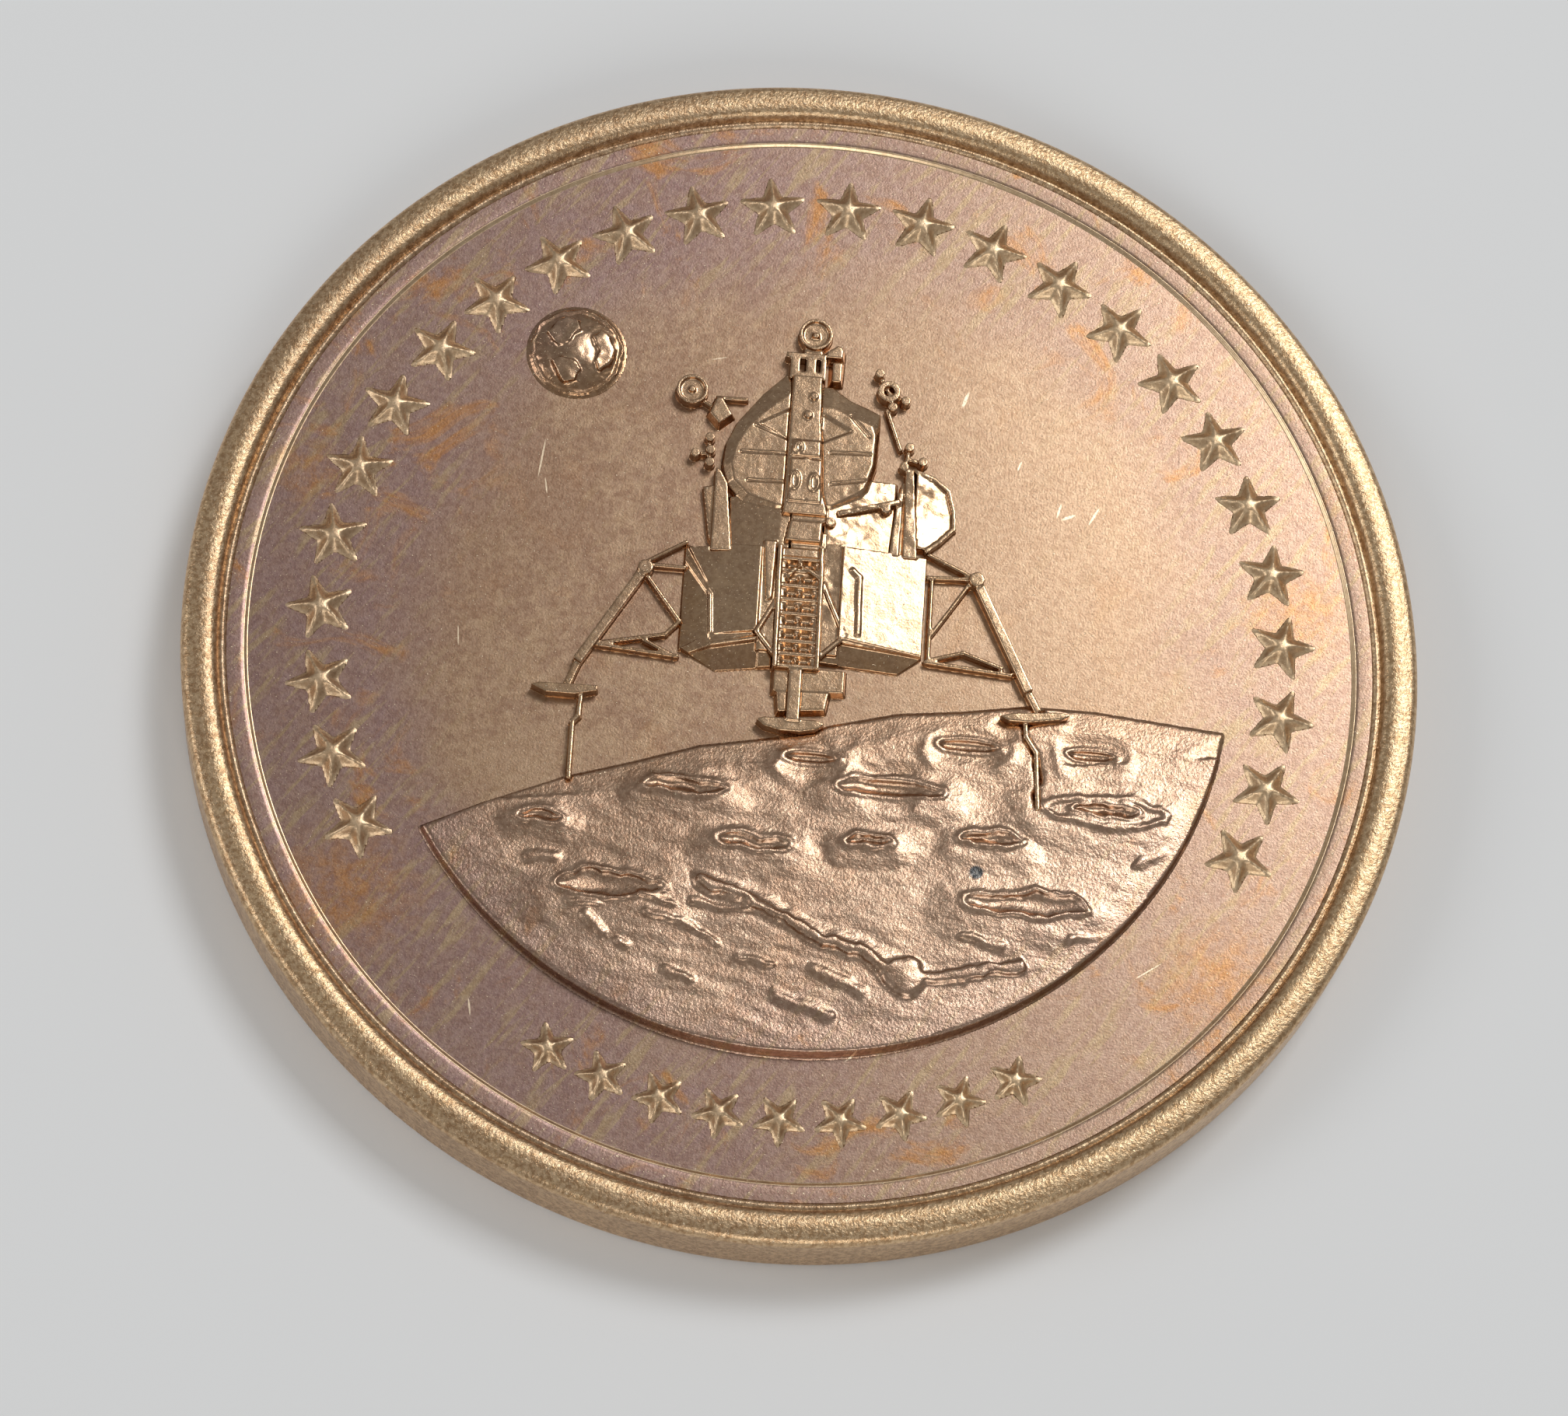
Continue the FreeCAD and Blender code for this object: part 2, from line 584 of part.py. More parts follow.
# Plume deflectors: long narrow plates under the thrusters
deflector_left = relief("deflector_left")
deflector_shares = ((-0.31, 0.554), (-0.295, 0.547), (-0.27, 0.504), (-0.245, 0.28), (-0.31, 0.276))
face(deflector_left, deflector_shares, "Sizes.plate_high", draft=None)
stay_shares = ((-0.345, 0.49), (-0.305, 0.5), (-0.305, 0.3), (-0.318, 0.32))
face(deflector_left, stay_shares, "Sizes.strut_high", draft=None)
relief_pieces.append(deflector_left)
deflector_right = relief("deflector_right")
for outline, high in (
    (((0.285, 0.302), (0.33, 0.302), (0.307, 0.6), (0.282, 0.6)), "Sizes.plate_high"),
    (((0.243, 0.305), (0.272, 0.305), (0.278, 0.52), (0.262, 0.52)), "Sizes.plate_high"),
    (((0.243, 0.305), (0.33, 0.302), (0.307, 0.59), (0.27, 0.55)), "Sizes.strut_high"),
):
    face(deflector_right, outline, high, draft=None)
relief_pieces.append(deflector_right)

# Boom and small nozzle low on the right of the cabin
boom = relief("aft_boom")
bar(boom, (0.084, 0.43), (0.26, 0.483), "Sizes.boom_wide", "Sizes.boom_high")
round_boss(boom, (0.226, 0.457), "Sizes.nozzle_radius", "Sizes.boom_high")
relief_pieces.append(boom)

# Cabin halves on either side of the column, falling away to their eaves
cabin_left = relief("cabin_left")
left_shares = ((-0.109, 0.89), (-0.177, 0.819), (-0.22, 0.76), (-0.256, 0.71), (-0.284, 0.64))
left_shares += ((-0.29, 0.57), (-0.277, 0.504), (-0.22, 0.447), (-0.12, 0.419), (-0.06, 0.419), (-0.06, 0.89))
left_crest_shares = ((-0.09, 0.82), (-0.145, 0.775), (-0.185, 0.735), (-0.222, 0.69), (-0.252, 0.63))
left_crest_shares += ((-0.264, 0.57), (-0.253, 0.515), (-0.205, 0.468), (-0.115, 0.44))
left_crest_shares += ((-0.06, 0.44), (-0.06, 0.82))
cabin_right = relief("cabin_right")
right_shares = ((-0.04, 0.86), (0.04, 0.86), (0.1, 0.82), (0.15, 0.8), (0.194, 0.78), (0.194, 0.71))
right_shares += ((0.19, 0.6), (0.166, 0.51), (0.15, 0.49), (0.055, 0.433), (-0.04, 0.433))
right_crest_shares = ((-0.04, 0.78), (0.04, 0.78), (0.085, 0.76), (0.13, 0.745), (0.168, 0.73), (0.18, 0.7))
right_crest_shares += ((0.176, 0.6), (0.154, 0.522), (0.138, 0.505), (0.055, 0.452), (-0.04, 0.452))
left_window_shares = ((-0.09, 0.664), (-0.09, 0.769), (-0.186, 0.711))
right_window_shares = ((0.01, 0.658), (0.106, 0.708), (0.01, 0.76))
round_boss(cabin_right, (0.087, 0.486), "Sizes.knob_radius", "Sizes.cabin_high")
cabins = (
    (cabin_left, left_shares, left_crest_shares, left_window_shares),
    (cabin_right, right_shares, right_crest_shares, right_window_shares),
)
for cabin, outline, crest, window in cabins:
    face(cabin, outline, "Sizes.cabin_eaves_high", draft=None)
    foot = new_sketch(cabin)
    draw_polygon(foot, drawn(outline))
    foot.setExpression("AttachmentOffset.Base.z", "Sizes.cabin_eaves_high")
    brow = new_sketch(cabin)
    draw_polygon(brow, drawn(crest))
    brow.setExpression("AttachmentOffset.Base.z", "Sizes.cabin_high")
    crown = cabin.newObject("PartDesign::AdditiveLoft", "Crown")
    crown.Profile = foot
    crown.Sections = [brow]
    crown.Ruled = True
    cabin.Tip = crown
    glass = new_sketch(cabin)
    draw_polygon(glass, drawn(window))
    glass.setExpression("AttachmentOffset.Base.z", "Sizes.cabin_high")
    doc.recompute()
    recess = cabin.newObject("PartDesign::Pocket", "Window")
    recess.Profile = glass
    recess.setExpression("Length", "Sizes.window_deep")
    cabin.Tip = recess
    relief_pieces.append(cabin)

# Neck between the cabin and the descent stage, seen on both sides of the porch
mid_left = relief("mid_body_left")
mid_left_shares = ((-0.255, 0.27), (-0.06, 0.29), (-0.06, 0.43), (-0.2, 0.47), (-0.265, 0.47))
face(mid_left, mid_left_shares, "Sizes.mid_body_high")
mid_left = planed(mid_left, "Sizes.mid_body_high", (-0.1, 0), Y_AXIS, "-Sizes.mid_body_slope_degrees")
mid_right = relief("mid_body_right")
mid_right_shares = ((0.03, 0.31), (0.26, 0.31), (0.26, 0.56), (0.16, 0.56), (0.03, 0.44))
face(mid_right, mid_right_shares, "Sizes.mid_body_high")
mid_right = planed(mid_right, "Sizes.mid_body_high", (0.05, 0), Y_AXIS, "Sizes.mid_body_slope_degrees")
relief_pieces += [mid_left, mid_right]

# Tank that bulges out at the right of the cabin
tank = relief("tank_bulge")
tank_shares = ((0.31, 0.6), (0.37, 0.58), (0.42, 0.54), (0.438, 0.47), (0.44, 0.415))
tank_shares += ((0.4, 0.37), (0.36, 0.335), (0.31, 0.335))
face(tank, tank_shares, "Sizes.tank_high")
tank = planed(tank, "Sizes.tank_high", tank_shares[0], Y_AXIS, "Sizes.tank_slope_degrees")
tank_edge = relief("tank_edge")
for start, end in zip(tank_shares[:-1], tank_shares[1:-1]):
    bar(tank_edge, start, end, "Sizes.tank_edge_wide", "Sizes.tank_edge_high")
relief_pieces += [tank_edge, tank]

# Braces that run from the ladder down to the corners of the descent stage
braces = relief("ladder_braces")
brace_shares = (
    ((-0.1, 0.12), (-0.15, 0.02)),
    ((-0.145, 0.01), (-0.1, -0.045)),
    ((0.045, 0.19), (0.112, 0.04)),
    ((0.05, -0.045), (0.122, 0.025)),
)
for start, end in brace_shares:
    bar(braces, start, end, "Sizes.brace_wide", "Sizes.brace_high")
relief_pieces.append(braces)

# Descent stage: the faces of its octagon, each leaning away from the middle
DOWN_RIGHT = (Y_AXIS, "Sizes.deck_slope_degrees")
DOWN_LEFT = (Y_AXIS, "-Sizes.left_deck_slope_degrees")
descent_faces = {
    "descent_right_front": (
        ((0.1, 0.005), (0.36, -0.02), (0.363, 0.31), (0.1, 0.32)),
        "Sizes.deck_high",
        (0.1, 0),
        *DOWN_RIGHT,
    ),
    "descent_left_front": (
        ((-0.3, 0), (-0.15, 0.02), (-0.15, 0.3), (-0.25, 0.3), (-0.375, 0.285), (-0.31, 0.17)),
        "Sizes.left_deck_high",
        (-0.15, 0),
        *DOWN_LEFT,
    ),
    "descent_left_side": (
        ((-0.385, -0.055), (-0.29, 0.01), (-0.29, 0.2), (-0.36, 0.29), (-0.385, 0.3)),
        "Sizes.side_high",
        (-0.3, 0),
        Y_AXIS,
        "-Sizes.side_slope_degrees",
    ),
    "descent_underside_left": (
        ((-0.38, -0.05), (-0.27, -0.11), (-0.1, -0.085), (-0.1, -0.03), (-0.14, 0.015), (-0.29, 0.005)),
        "Sizes.underside_high",
        (0, 0),
        X_AXIS,
        "Sizes.underside_slope_degrees",
    ),
    "descent_underside_right": (
        ((0.045, -0.06), (0.29, -0.075), (0.36, -0.02), (0.11, 0.03), (0.045, -0.03)),
        "Sizes.underside_high",
        (0, 0),
        X_AXIS,
        "Sizes.underside_slope_degrees",
    ),
}
centre_strips = relief("descent_centre")
for left_share, right_share in ((-0.15, -0.085), (0.03, 0.1)):
    strip = ((left_share, -0.04), (right_share, -0.04), (right_share, 0.33), (left_share, 0.33))
    face(centre_strips, strip, "Sizes.mid_body_high", draft=None)
relief_pieces.append(centre_strips)
for name, (outline, high, hinge, axis, slope) in descent_faces.items():
    stage = relief(name)
    face(stage, outline, high, draft=None)
    relief_pieces.append(planed(stage, high, hinge, axis, slope))

# Engine bell under the stage, behind the front leg
bell = relief("engine_bell")
face(bell, ((-0.095, -0.08), (0.135, -0.08), (0.135, -0.165), (-0.095, -0.175)), "Sizes.bell_high")
face(bell, ((-0.085, -0.16), (0.09, -0.16), (0.08, -0.225), (-0.075, -0.24)), "Sizes.underside_high")
relief_pieces.append(bell)

# Side legs: outrigger, main strut, lower truss, footpad and the long sensing probe
leg_shares = {
    "left": {
        "outrigger": (((-0.51, 0.22), (-0.385, 0.3)), ((-0.51, 0.215), (-0.385, 0.215))),
        "leg": ((-0.505, 0.2), (-0.685, -0.11)),
        "shin": ((-0.685, -0.11), (-0.713, -0.19)),
        "side_strut": ((-0.49, 0.17), (-0.39, 0.04)),
        "truss": (
            ((-0.64, -0.06), (-0.39, -0.078)),
            ((-0.63, -0.055), (-0.43, -0.01)),
            ((-0.43, -0.01), (-0.39, 0.035)),
            ((-0.49, -0.035), (-0.4, -0.078)),
        ),
        "footpad": (
            (-0.828, -0.215),
            (-0.8, -0.206),
            (-0.622, -0.202),
            (-0.622, -0.218),
            (-0.69, -0.236),
            (-0.78, -0.236),
        ),
        "probe": ((-0.672, -0.23), (-0.675, -0.3), (-0.692, -0.32), (-0.69, -0.5)),
    },
    "right": {
        "outrigger": (((0.37, 0.325), (0.515, 0.26)), ((0.37, 0.25), (0.5, 0.255))),
        "leg": ((0.52, 0.25), (0.69, -0.09)),
        "shin": ((0.69, -0.09), (0.725, -0.155)),
        "side_strut": ((0.5, 0.24), (0.39, 0.065)),
        "truss": (
            ((0.375, -0.03), (0.64, -0.05)),
            ((0.395, -0.02), (0.49, 0.01)),
            ((0.49, 0.01), (0.61, -0.03)),
            ((0.382, 0.25), (0.382, -0.03)),
        ),
        "footpad": (
            (0.61, -0.192),
            (0.64, -0.207),
            (0.7, -0.207),
            (0.8, -0.19),
            (0.828, -0.175),
            (0.8, -0.166),
            (0.65, -0.18),
        ),
        "probe": ((0.69, -0.195), (0.695, -0.25), (0.728, -0.3), (0.74, -0.48)),
    },
}
for side, leg in leg_shares.items():
    footpad = relief(f"footpad_{side}")
    face(footpad, leg["footpad"], "Sizes.pad_high", draft=None)
    main = relief(f"leg_{side}")
    bar(main, *leg["leg"], "Sizes.leg_wide", "Sizes.leg_high")
    round_boss(main, leg["leg"][0], "Sizes.knee_radius", "Sizes.knee_high")
    bar(main, *leg["shin"], "Sizes.shin_wide", "Sizes.strut_high")
    outrigger = relief(f"outrigger_{side}")
    for start, end in leg["outrigger"]:
        bar(outrigger, start, end, "Sizes.strut_wide", "Sizes.strut_high")
    truss = relief(f"leg_truss_{side}")
    for start, end in (leg["side_strut"],) + leg["truss"]:
        bar(truss, start, end, "Sizes.strut_wide", "Sizes.strut_high")
    probe = relief(f"probe_{side}")
    for start, end in zip(leg["probe"], leg["probe"][1:]):
        bar(probe, start, end, "Sizes.probe_wide", "Sizes.probe_high")
    relief_pieces += [footpad, main, outrigger, truss, probe]

# Ground: everything under the horizon, out to an arc about the medal's centre, with its
# top leaning up towards the viewer and a bowl in each crater
ground = relief("moon_ground")
horizon_shares = ((-1.14, -0.7), (-0.93, -0.595), (-0.7, -0.495), (-0.5, -0.43), (-0.3, -0.36))
horizon_shares += ((0, -0.3), (0.1, -0.26), (0.3, -0.205), (0.5, -0.18), (0.7, -0.145), (0.9, -0.145))
horizon_shares += ((1.31, -0.18), (1.5, -0.2))
ground_shares = horizon_shares + ((1.5, -1.5), (-1.5, -1.5), (-1.5, -0.9))
face(ground, ground_shares, "Sizes.ground_wall_high", draft=None)
ground_slope = ((0, 0), X_AXIS, "-Sizes.ground_slope_degrees")
slab = planed(ground, "Sizes.ground_high", *ground_slope)
plinth = doc.addObject("Part::Cone", "GroundArc")
plinth.setExpression("Radius1", GROUND_RADIUS)
plinth.setExpression("Radius2", f"{GROUND_RADIUS} - Sizes.ground_wall_high * tan(Sizes.wall_draft_degrees)")
plinth.setExpression("Height", "Sizes.ground_wall_high")
plinth.setExpression("Placement.Base.z", FIELD)
terrain = doc.addObject("Part::Common", "Terrain")
terrain.Base = slab
terrain.Tool = plinth

# Craters: oval rims, each longer than it is deep, with a bowl inside all but the ringed one's rim
CRATER_HALF_RIM = f"Sizes.crater_rim_wide * {SCALE} / 2"
crater_shares = (
    (-0.34, -0.5, 0.13, 0.025, True),
    (0.04, -0.37, 0.09, 0.02, True),
    (0.29, -0.45, 0.17, 0.03, True),
    (0.52, -0.29, 0.1, 0.022, True),
    (0.95, -0.47, 0.19, 0.045, False),
    (0.95, -0.47, 0.11, 0.022, True),
    (0.9, -0.29, 0.08, 0.02, True),
    (0.6, -0.59, 0.1, 0.025, True),
    (-0.77, -0.63, 0.07, 0.02, True),
    (-0.12, -0.66, 0.12, 0.026, True),
    (0.23, -0.63, 0.08, 0.02, True),
    (0.72, -0.79, 0.19, 0.04, True),
    (-0.54, -0.83, 0.16, 0.045, True),
)
rims = []
bowls = []
for across, up, long_share, deep_share, has_bowl in crater_shares:
    ovals = []
    for spread in ("+", "-"):
        oval = doc.addObject("Part::Ellipse", "Oval")
        oval.setExpression("MajorRadius", f"{RISE} * {long_share} {spread} {CRATER_HALF_RIM}")
        oval.setExpression("MinorRadius", f"{RISE} * {deep_share} {spread} {CRATER_HALF_RIM}")
        oval.setExpression("Placement.Base.x", f"{RISE} * {across}")
        oval.setExpression("Placement.Base.y", f"{RISE} * {up}")
        raised = doc.addObject("Part::Extrusion", "OvalPad")
        raised.Base = oval
        raised.DirMode = "Normal"
        raised.setExpression("LengthFwd", "Sizes.crater_rim_high")
        raised.Solid = True
        ovals.append(raised)
    rim = doc.addObject("Part::Cut", "CraterRim")
    rim.Base, rim.Tool = ovals
    rims.append(rim)
    if has_bowl:
        bowl = doc.addObject("Part::Ellipsoid", "Bowl")
        bowl.setExpression("Radius1", "Sizes.crater_deep")
        bowl.setExpression("Radius2", f"{RISE} * {long_share} - {CRATER_HALF_RIM}")
        bowl.setExpression("Radius3", f"{RISE} * {deep_share} - {CRATER_HALF_RIM}")
        bowl.setExpression("Placement.Base.x", f"{RISE} * {across}")
        bowl.setExpression("Placement.Base.y", f"{RISE} * {up}")
        bowls.append(bowl)
craters = doc.addObject("Part::MultiFuse", "crater_rims")
craters.Shapes = rims
lean(craters, "Sizes.ground_high", *ground_slope)
hollows = doc.addObject("Part::MultiFuse", "Bowls")
hollows.Shapes = bowls
lean(hollows, "Sizes.ground_high", *ground_slope)
cratered = doc.addObject("Part::Cut", "Cratered")
cratered.Base = terrain
cratered.Tool = hollows
slab.Label = "GroundSlab"
cratered.Label = "moon_ground"
relief_pieces += [cratered, craters]

# Ridge and knoll: a low bank that wanders across the near ground
ridge = doc.addObject("PartDesign::Body", "ground_ridge")
ridge_shares = ((-0.26, -0.8), (-0.12, -0.85), (0.06, -0.94), (0.22, -0.98))
ridge_shares += ((0.36, -1.05), (0.52, -1.04), (0.7, -0.98))
for start, end in zip(ridge_shares, ridge_shares[1:]):
    bar(ridge, start, end, "Sizes.ridge_wide", "Sizes.ridge_high")
round_boss(ridge, ridge_shares[4], "Sizes.knoll_radius", "Sizes.ridge_high")
lean(ridge, "Sizes.ground_high", *ground_slope)
relief_pieces.append(ridge)

# Globe: a low dome in the sky, with three raised lands on it
GLOBE_CURVE = "((Sizes.globe_radius ^ 2 + Sizes.globe_high ^ 2) / (2 * Sizes.globe_high))"
GLOBE_X = f"{GLOBE_ORBIT} * cos(Sizes.globe_degrees)"
GLOBE_Y = f"{GLOBE_ORBIT} * sin(Sizes.globe_degrees)"
globe = doc.addObject("Part::Sphere", "distant_globe")
globe.setExpression("Radius", GLOBE_CURVE)
globe.setExpression("Angle1", f"asin(1 - Sizes.globe_high / {GLOBE_CURVE})")
globe.setExpression("Placement.Base.x", GLOBE_X)
globe.setExpression("Placement.Base.y", GLOBE_Y)
globe.setExpression("Placement.Base.z", f"{FIELD} + Sizes.globe_high - {GLOBE_CURVE}")
lands = relief("globe_lands")
west_land = ((-0.6, 0.3), (-0.46, 0.5), (-0.24, 0.68), (-0.02, 0.6), (0.06, 0.42), (-0.1, 0.3))
west_land += ((-0.16, 0.12), (-0.36, 0.06))
east_land = ((0.3, 0.3), (0.46, 0.44), (0.64, 0.32), (0.74, 0.02), (0.66, -0.24), (0.5, -0.4))
east_land += ((0.36, -0.24), (0.42, 0.02))
south_land = ((-0.5, -0.3), (-0.3, -0.2), (-0.06, -0.26), (0.1, -0.46), (0.02, -0.66), (-0.22, -0.74))
south_land += ((-0.32, -0.56),)
for outline in (west_land, east_land, south_land):
    sketch = new_sketch(lands)
    draw_polygon(sketch, drawn(outline, "Sizes.globe_radius"))
    pad(lands, sketch, "Sizes.land_high", draft=None)
lands.setExpression("Placement.Base.x", GLOBE_X)
lands.setExpression("Placement.Base.y", GLOBE_Y)
relief_pieces += [globe, lands]

# Ribs on the right front face and the pointed panel on the strip beside the ladder
rib = relief("descent_rib")
rib_shares = ((0.035, 0.24), (0.055, 0.22), (0.06, 0.035))
for start, end in zip(rib_shares, rib_shares[1:]):
    bar(rib, start, end, "Sizes.rib_wide", "Sizes.rib_proud")
lean(rib, "Sizes.deck_high", (0.1, 0), Y_AXIS, "Sizes.deck_slope_degrees")
pointed_panel = relief("descent_panel", f"{FIELD} + Sizes.mid_body_high")
pointed_shares = ((-0.145, 0.32), (-0.106, 0.32), (-0.112, 0.13), (-0.128, 0.12))
face(pointed_panel, pointed_shares, "Sizes.rib_proud", draft=None)

# Panels, studs and knobs that stand on the column and the cabin
panels = relief("column_panels", f"{FIELD} + Sizes.column_high")
panel_shares = (
    ((-0.081, 0.604), (0.012, 0.604), (0.01, 0.658), (-0.078, 0.658)),
    ((-0.084, 0.45), (-0.029, 0.45), (-0.029, 0.595), (-0.081, 0.595)),
    ((-0.025, 0.45), (0.02, 0.45), (0.016, 0.595), (-0.025, 0.595)),
)
for outline in panel_shares:
    face(panels, outline, "Sizes.panel_proud")
for centre in ((-0.02, 0.808), (-0.035, 0.744)):
    round_boss(panels, centre, "Sizes.stud_radius", "Sizes.window_frame_proud")
frame_shares = (((-0.064, 0.52), 0.016, 0.03), ((-0.004, 0.517), 0.016, 0.03), ((-0.058, 0.631), 0.014, 0.019))
for centre, half_wide_share, half_tall_share in frame_shares:
    window_frame(panels, centre, half_wide_share, half_tall_share)

doc.recompute()


def meet_in_plan(one, other):
    """Whether two shapes' boxes overlap."""
    first, second = one.BoundBox, other.BoundBox
    across = first.XMin < second.XMax and second.XMin < first.XMax
    up = first.YMin < second.YMax and second.YMin < first.YMax
    return across and up and first.ZMin < second.ZMax and second.ZMin < first.ZMax


# Each piece of the picture is cut back where the pieces in front of it begin
seated = {}
for piece in relief_pieces:
    name = piece.Label
    uncut = piece
    for front in relief_pieces[: relief_pieces.index(uncut)]:
        if not meet_in_plan(uncut.Shape, front.Shape):
            continue
        trimmed = doc.addObject("Part::Cut", f"Trim_{name}")
        trimmed.Base = piece
        trimmed.Tool = front
        piece = trimmed
    seated[name] = piece
doc.recompute()

nodes = {
    "medal_flan": flan,
    "obverse_rim": obverse_rim,
    "obverse_ledge": obverse_ledge,
    "obverse_border_line": obverse_line,
    "reverse_rim": reverse_rim,
    "reverse_border_line": reverse_line,
    "reverse_wreath": wreath,
    "legend_star_arc": legend_stars,
    "date_star_row": date_stars,
    "column_panels": panels,
    "descent_rib": rib,
    "descent_panel": pointed_panel,
}
nodes.update(seated)

failed = [piece.Name for piece in doc.Objects if "Invalid" in piece.State or "Error" in piece.State]
for name, piece in nodes.items():
    if piece.Shape.isNull() or not piece.Shape.isValid() or not piece.Shape.Solids:
        failed.append(name)
if failed:
    raise RuntimeError(f"features that did not build: {failed}")

os.makedirs("parts", exist_ok=True)
for name, piece in nodes.items():
    piece.Label = name
    piece.Shape.exportStep(f"parts/{name}.step")
    print(f"{name}: {len(piece.Shape.Solids)} solid(s), {piece.Shape.Volume:.3f} mm3")
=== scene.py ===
import json
import math

import bpy
from mathutils import Matrix, Vector
from mathutils.kdtree import KDTree

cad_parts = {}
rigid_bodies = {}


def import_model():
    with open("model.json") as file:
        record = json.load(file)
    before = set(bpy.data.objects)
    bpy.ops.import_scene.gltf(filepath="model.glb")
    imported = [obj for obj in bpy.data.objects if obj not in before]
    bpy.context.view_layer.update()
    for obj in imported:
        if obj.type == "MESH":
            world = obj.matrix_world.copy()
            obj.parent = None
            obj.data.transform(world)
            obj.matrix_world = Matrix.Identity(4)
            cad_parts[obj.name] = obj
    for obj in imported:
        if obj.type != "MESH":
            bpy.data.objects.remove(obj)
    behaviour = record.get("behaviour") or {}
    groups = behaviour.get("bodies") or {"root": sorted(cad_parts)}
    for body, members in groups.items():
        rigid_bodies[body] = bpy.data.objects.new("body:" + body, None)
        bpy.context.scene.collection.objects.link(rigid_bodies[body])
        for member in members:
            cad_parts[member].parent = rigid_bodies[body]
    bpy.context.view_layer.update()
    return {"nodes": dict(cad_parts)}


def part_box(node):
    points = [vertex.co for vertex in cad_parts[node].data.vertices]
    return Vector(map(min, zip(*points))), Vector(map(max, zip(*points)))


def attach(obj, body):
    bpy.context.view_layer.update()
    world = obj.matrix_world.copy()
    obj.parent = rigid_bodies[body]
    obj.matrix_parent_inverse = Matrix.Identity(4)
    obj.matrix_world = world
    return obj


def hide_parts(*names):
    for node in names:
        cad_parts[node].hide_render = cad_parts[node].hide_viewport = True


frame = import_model()

# The view. The medal was photographed from about 16 cm, from well above its lower edge,
# with the picture turned a little and the middle of the lens just off the picture's middle.
MM = 0.001
eye_distance = 157.65 * MM
eye_above = math.radians(68.84)
eye_heading = math.radians(8.66)
picture_turn = math.radians(12.85)
aim = Vector((0.0, 0.0, -0.2 * MM))
ahead = Vector((math.sin(eye_heading), math.cos(eye_heading), 0.0))
across = Vector((math.cos(eye_heading), -math.sin(eye_heading), 0.0))
upward = Vector((0.0, 0.0, 1.0))
towards_eye = upward * math.sin(eye_above) - ahead * math.cos(eye_above)
over = ahead * math.sin(eye_above) + upward * math.cos(eye_above)
picture_right = across * math.cos(picture_turn) + over * math.sin(picture_turn)
picture_up = over * math.cos(picture_turn) - across * math.sin(picture_turn)
bpy.ops.object.camera_add()
eye = bpy.context.object
eye_turn = Matrix((picture_right, picture_up, towards_eye)).transposed()
eye.matrix_world = Matrix.Translation(aim + towards_eye * eye_distance) @ eye_turn.to_4x4()
eye.data.sensor_width = 36.0
eye.data.lens = 116.07
eye.data.shift_x = -0.0089
eye.data.shift_y = -0.0231
eye.data.clip_start = 0.01
eye.data.clip_end = 10.0
bpy.context.scene.camera = eye
bpy.context.scene.view_settings.view_transform = "Standard"

# The table and the light. The medal lies on a plain pale matt surface, under a soft lamp at
# its upper right, weaker ones at its left and in front, and the light of a plain room.
table_wide = 3.0
bpy.ops.object.select_all(action="DESELECT")
bpy.ops.mesh.primitive_plane_add(size=table_wide, location=(0.0, 0.0, 0.0))
table = bpy.context.object
table.name = "table"
table_paint = bpy.data.materials.new("table_paint")
table_paint.use_nodes = True
table_shader = table_paint.node_tree.nodes["Principled BSDF"]
table_shader.inputs["Base Color"].default_value = (0.88, 0.88, 0.87, 1.0)
table_shader.inputs["Roughness"].default_value = 0.9
table.data.materials.append(table_paint)

room = bpy.data.worlds.new("room")
room.use_nodes = True
room.node_tree.nodes["Background"].inputs["Color"].default_value = (1.0, 1.0, 1.0, 1.0)
room.node_tree.nodes["Background"].inputs["Strength"].default_value = 0.27
bpy.context.scene.world = room


def soft_lamp(name, away, wide, distance, glow, tint):
    """A square soft lamp that faces the medal. The glow is the brightness of its face."""
    place = Vector(away).normalized() * distance
    bpy.ops.object.light_add(type="AREA", location=place)
    lamp = bpy.context.object
    lamp.name = name
    lamp.data.shape = "SQUARE"
    lamp.data.size = wide
    lamp.data.energy = glow * math.pi * wide * wide
    lamp.data.color = tint
    lamp.rotation_euler = (-place).to_track_quat("-Z", "Y").to_euler()


soft_lamp("key_lamp", (0.36, 0.45, 0.82), 0.21, 0.62, 9.3, (0.94, 0.965, 1.0))
soft_lamp("side_lamp", (-0.80, -0.05, 0.60), 0.30, 0.70, 2.8, (0.97, 0.98, 1.0))
soft_lamp("front_lamp", (0.10, -0.80, 0.60), 0.30, 0.70, 2.9, (1.0, 0.99, 0.97))

# The bronze. One alloy is used all over, a warm brown. Time has toned it violet-brown round
# the border and in patches, and has left orange stains, and the raised parts are rubbed paler.
# Low in the relief it is painted darker and redder as painted shade; its glints are painted
# highlights.
warm_bronze = (0.57, 0.375, 0.235, 1.0)
brown_bronze = (0.37, 0.225, 0.145, 1.0)
violet_bronze = (0.34, 0.215, 0.20, 1.0)
olive_bronze = (0.50, 0.36, 0.19, 1.0)
# The darker, redder colour of the painted shade low in the relief.
recess_shade_bronze = (0.46, 0.24, 0.10, 1.0)
rust_bronze = (0.58, 0.25, 0.06, 1.0)
# Pale metal for the grain's speckle and the scratches, and the painted highlight of its glints.
pale_and_painted_glint_bronze = (1.0, 0.80, 0.56, 1.0)
shaded_bronze = (0.62, 0.54, 0.48, 1.0)
fleck_grey = (0.07, 0.075, 0.08, 1.0)
fleck_place = (5.6, -7.0, 2.5)


def group_socket(tree, name, kind, way, value=None):
    """One named input or output of a node group."""
    socket = tree.interface.new_socket(name=name, in_out=way, socket_type=kind)
    if value is not None:
        socket.default_value = value


def put(tree, kind, **settings):
    """A node in a tree, with its own settings."""
    made = tree.nodes.new(kind)
    for name, value in settings.items():
        setattr(made, name, value)
    return made


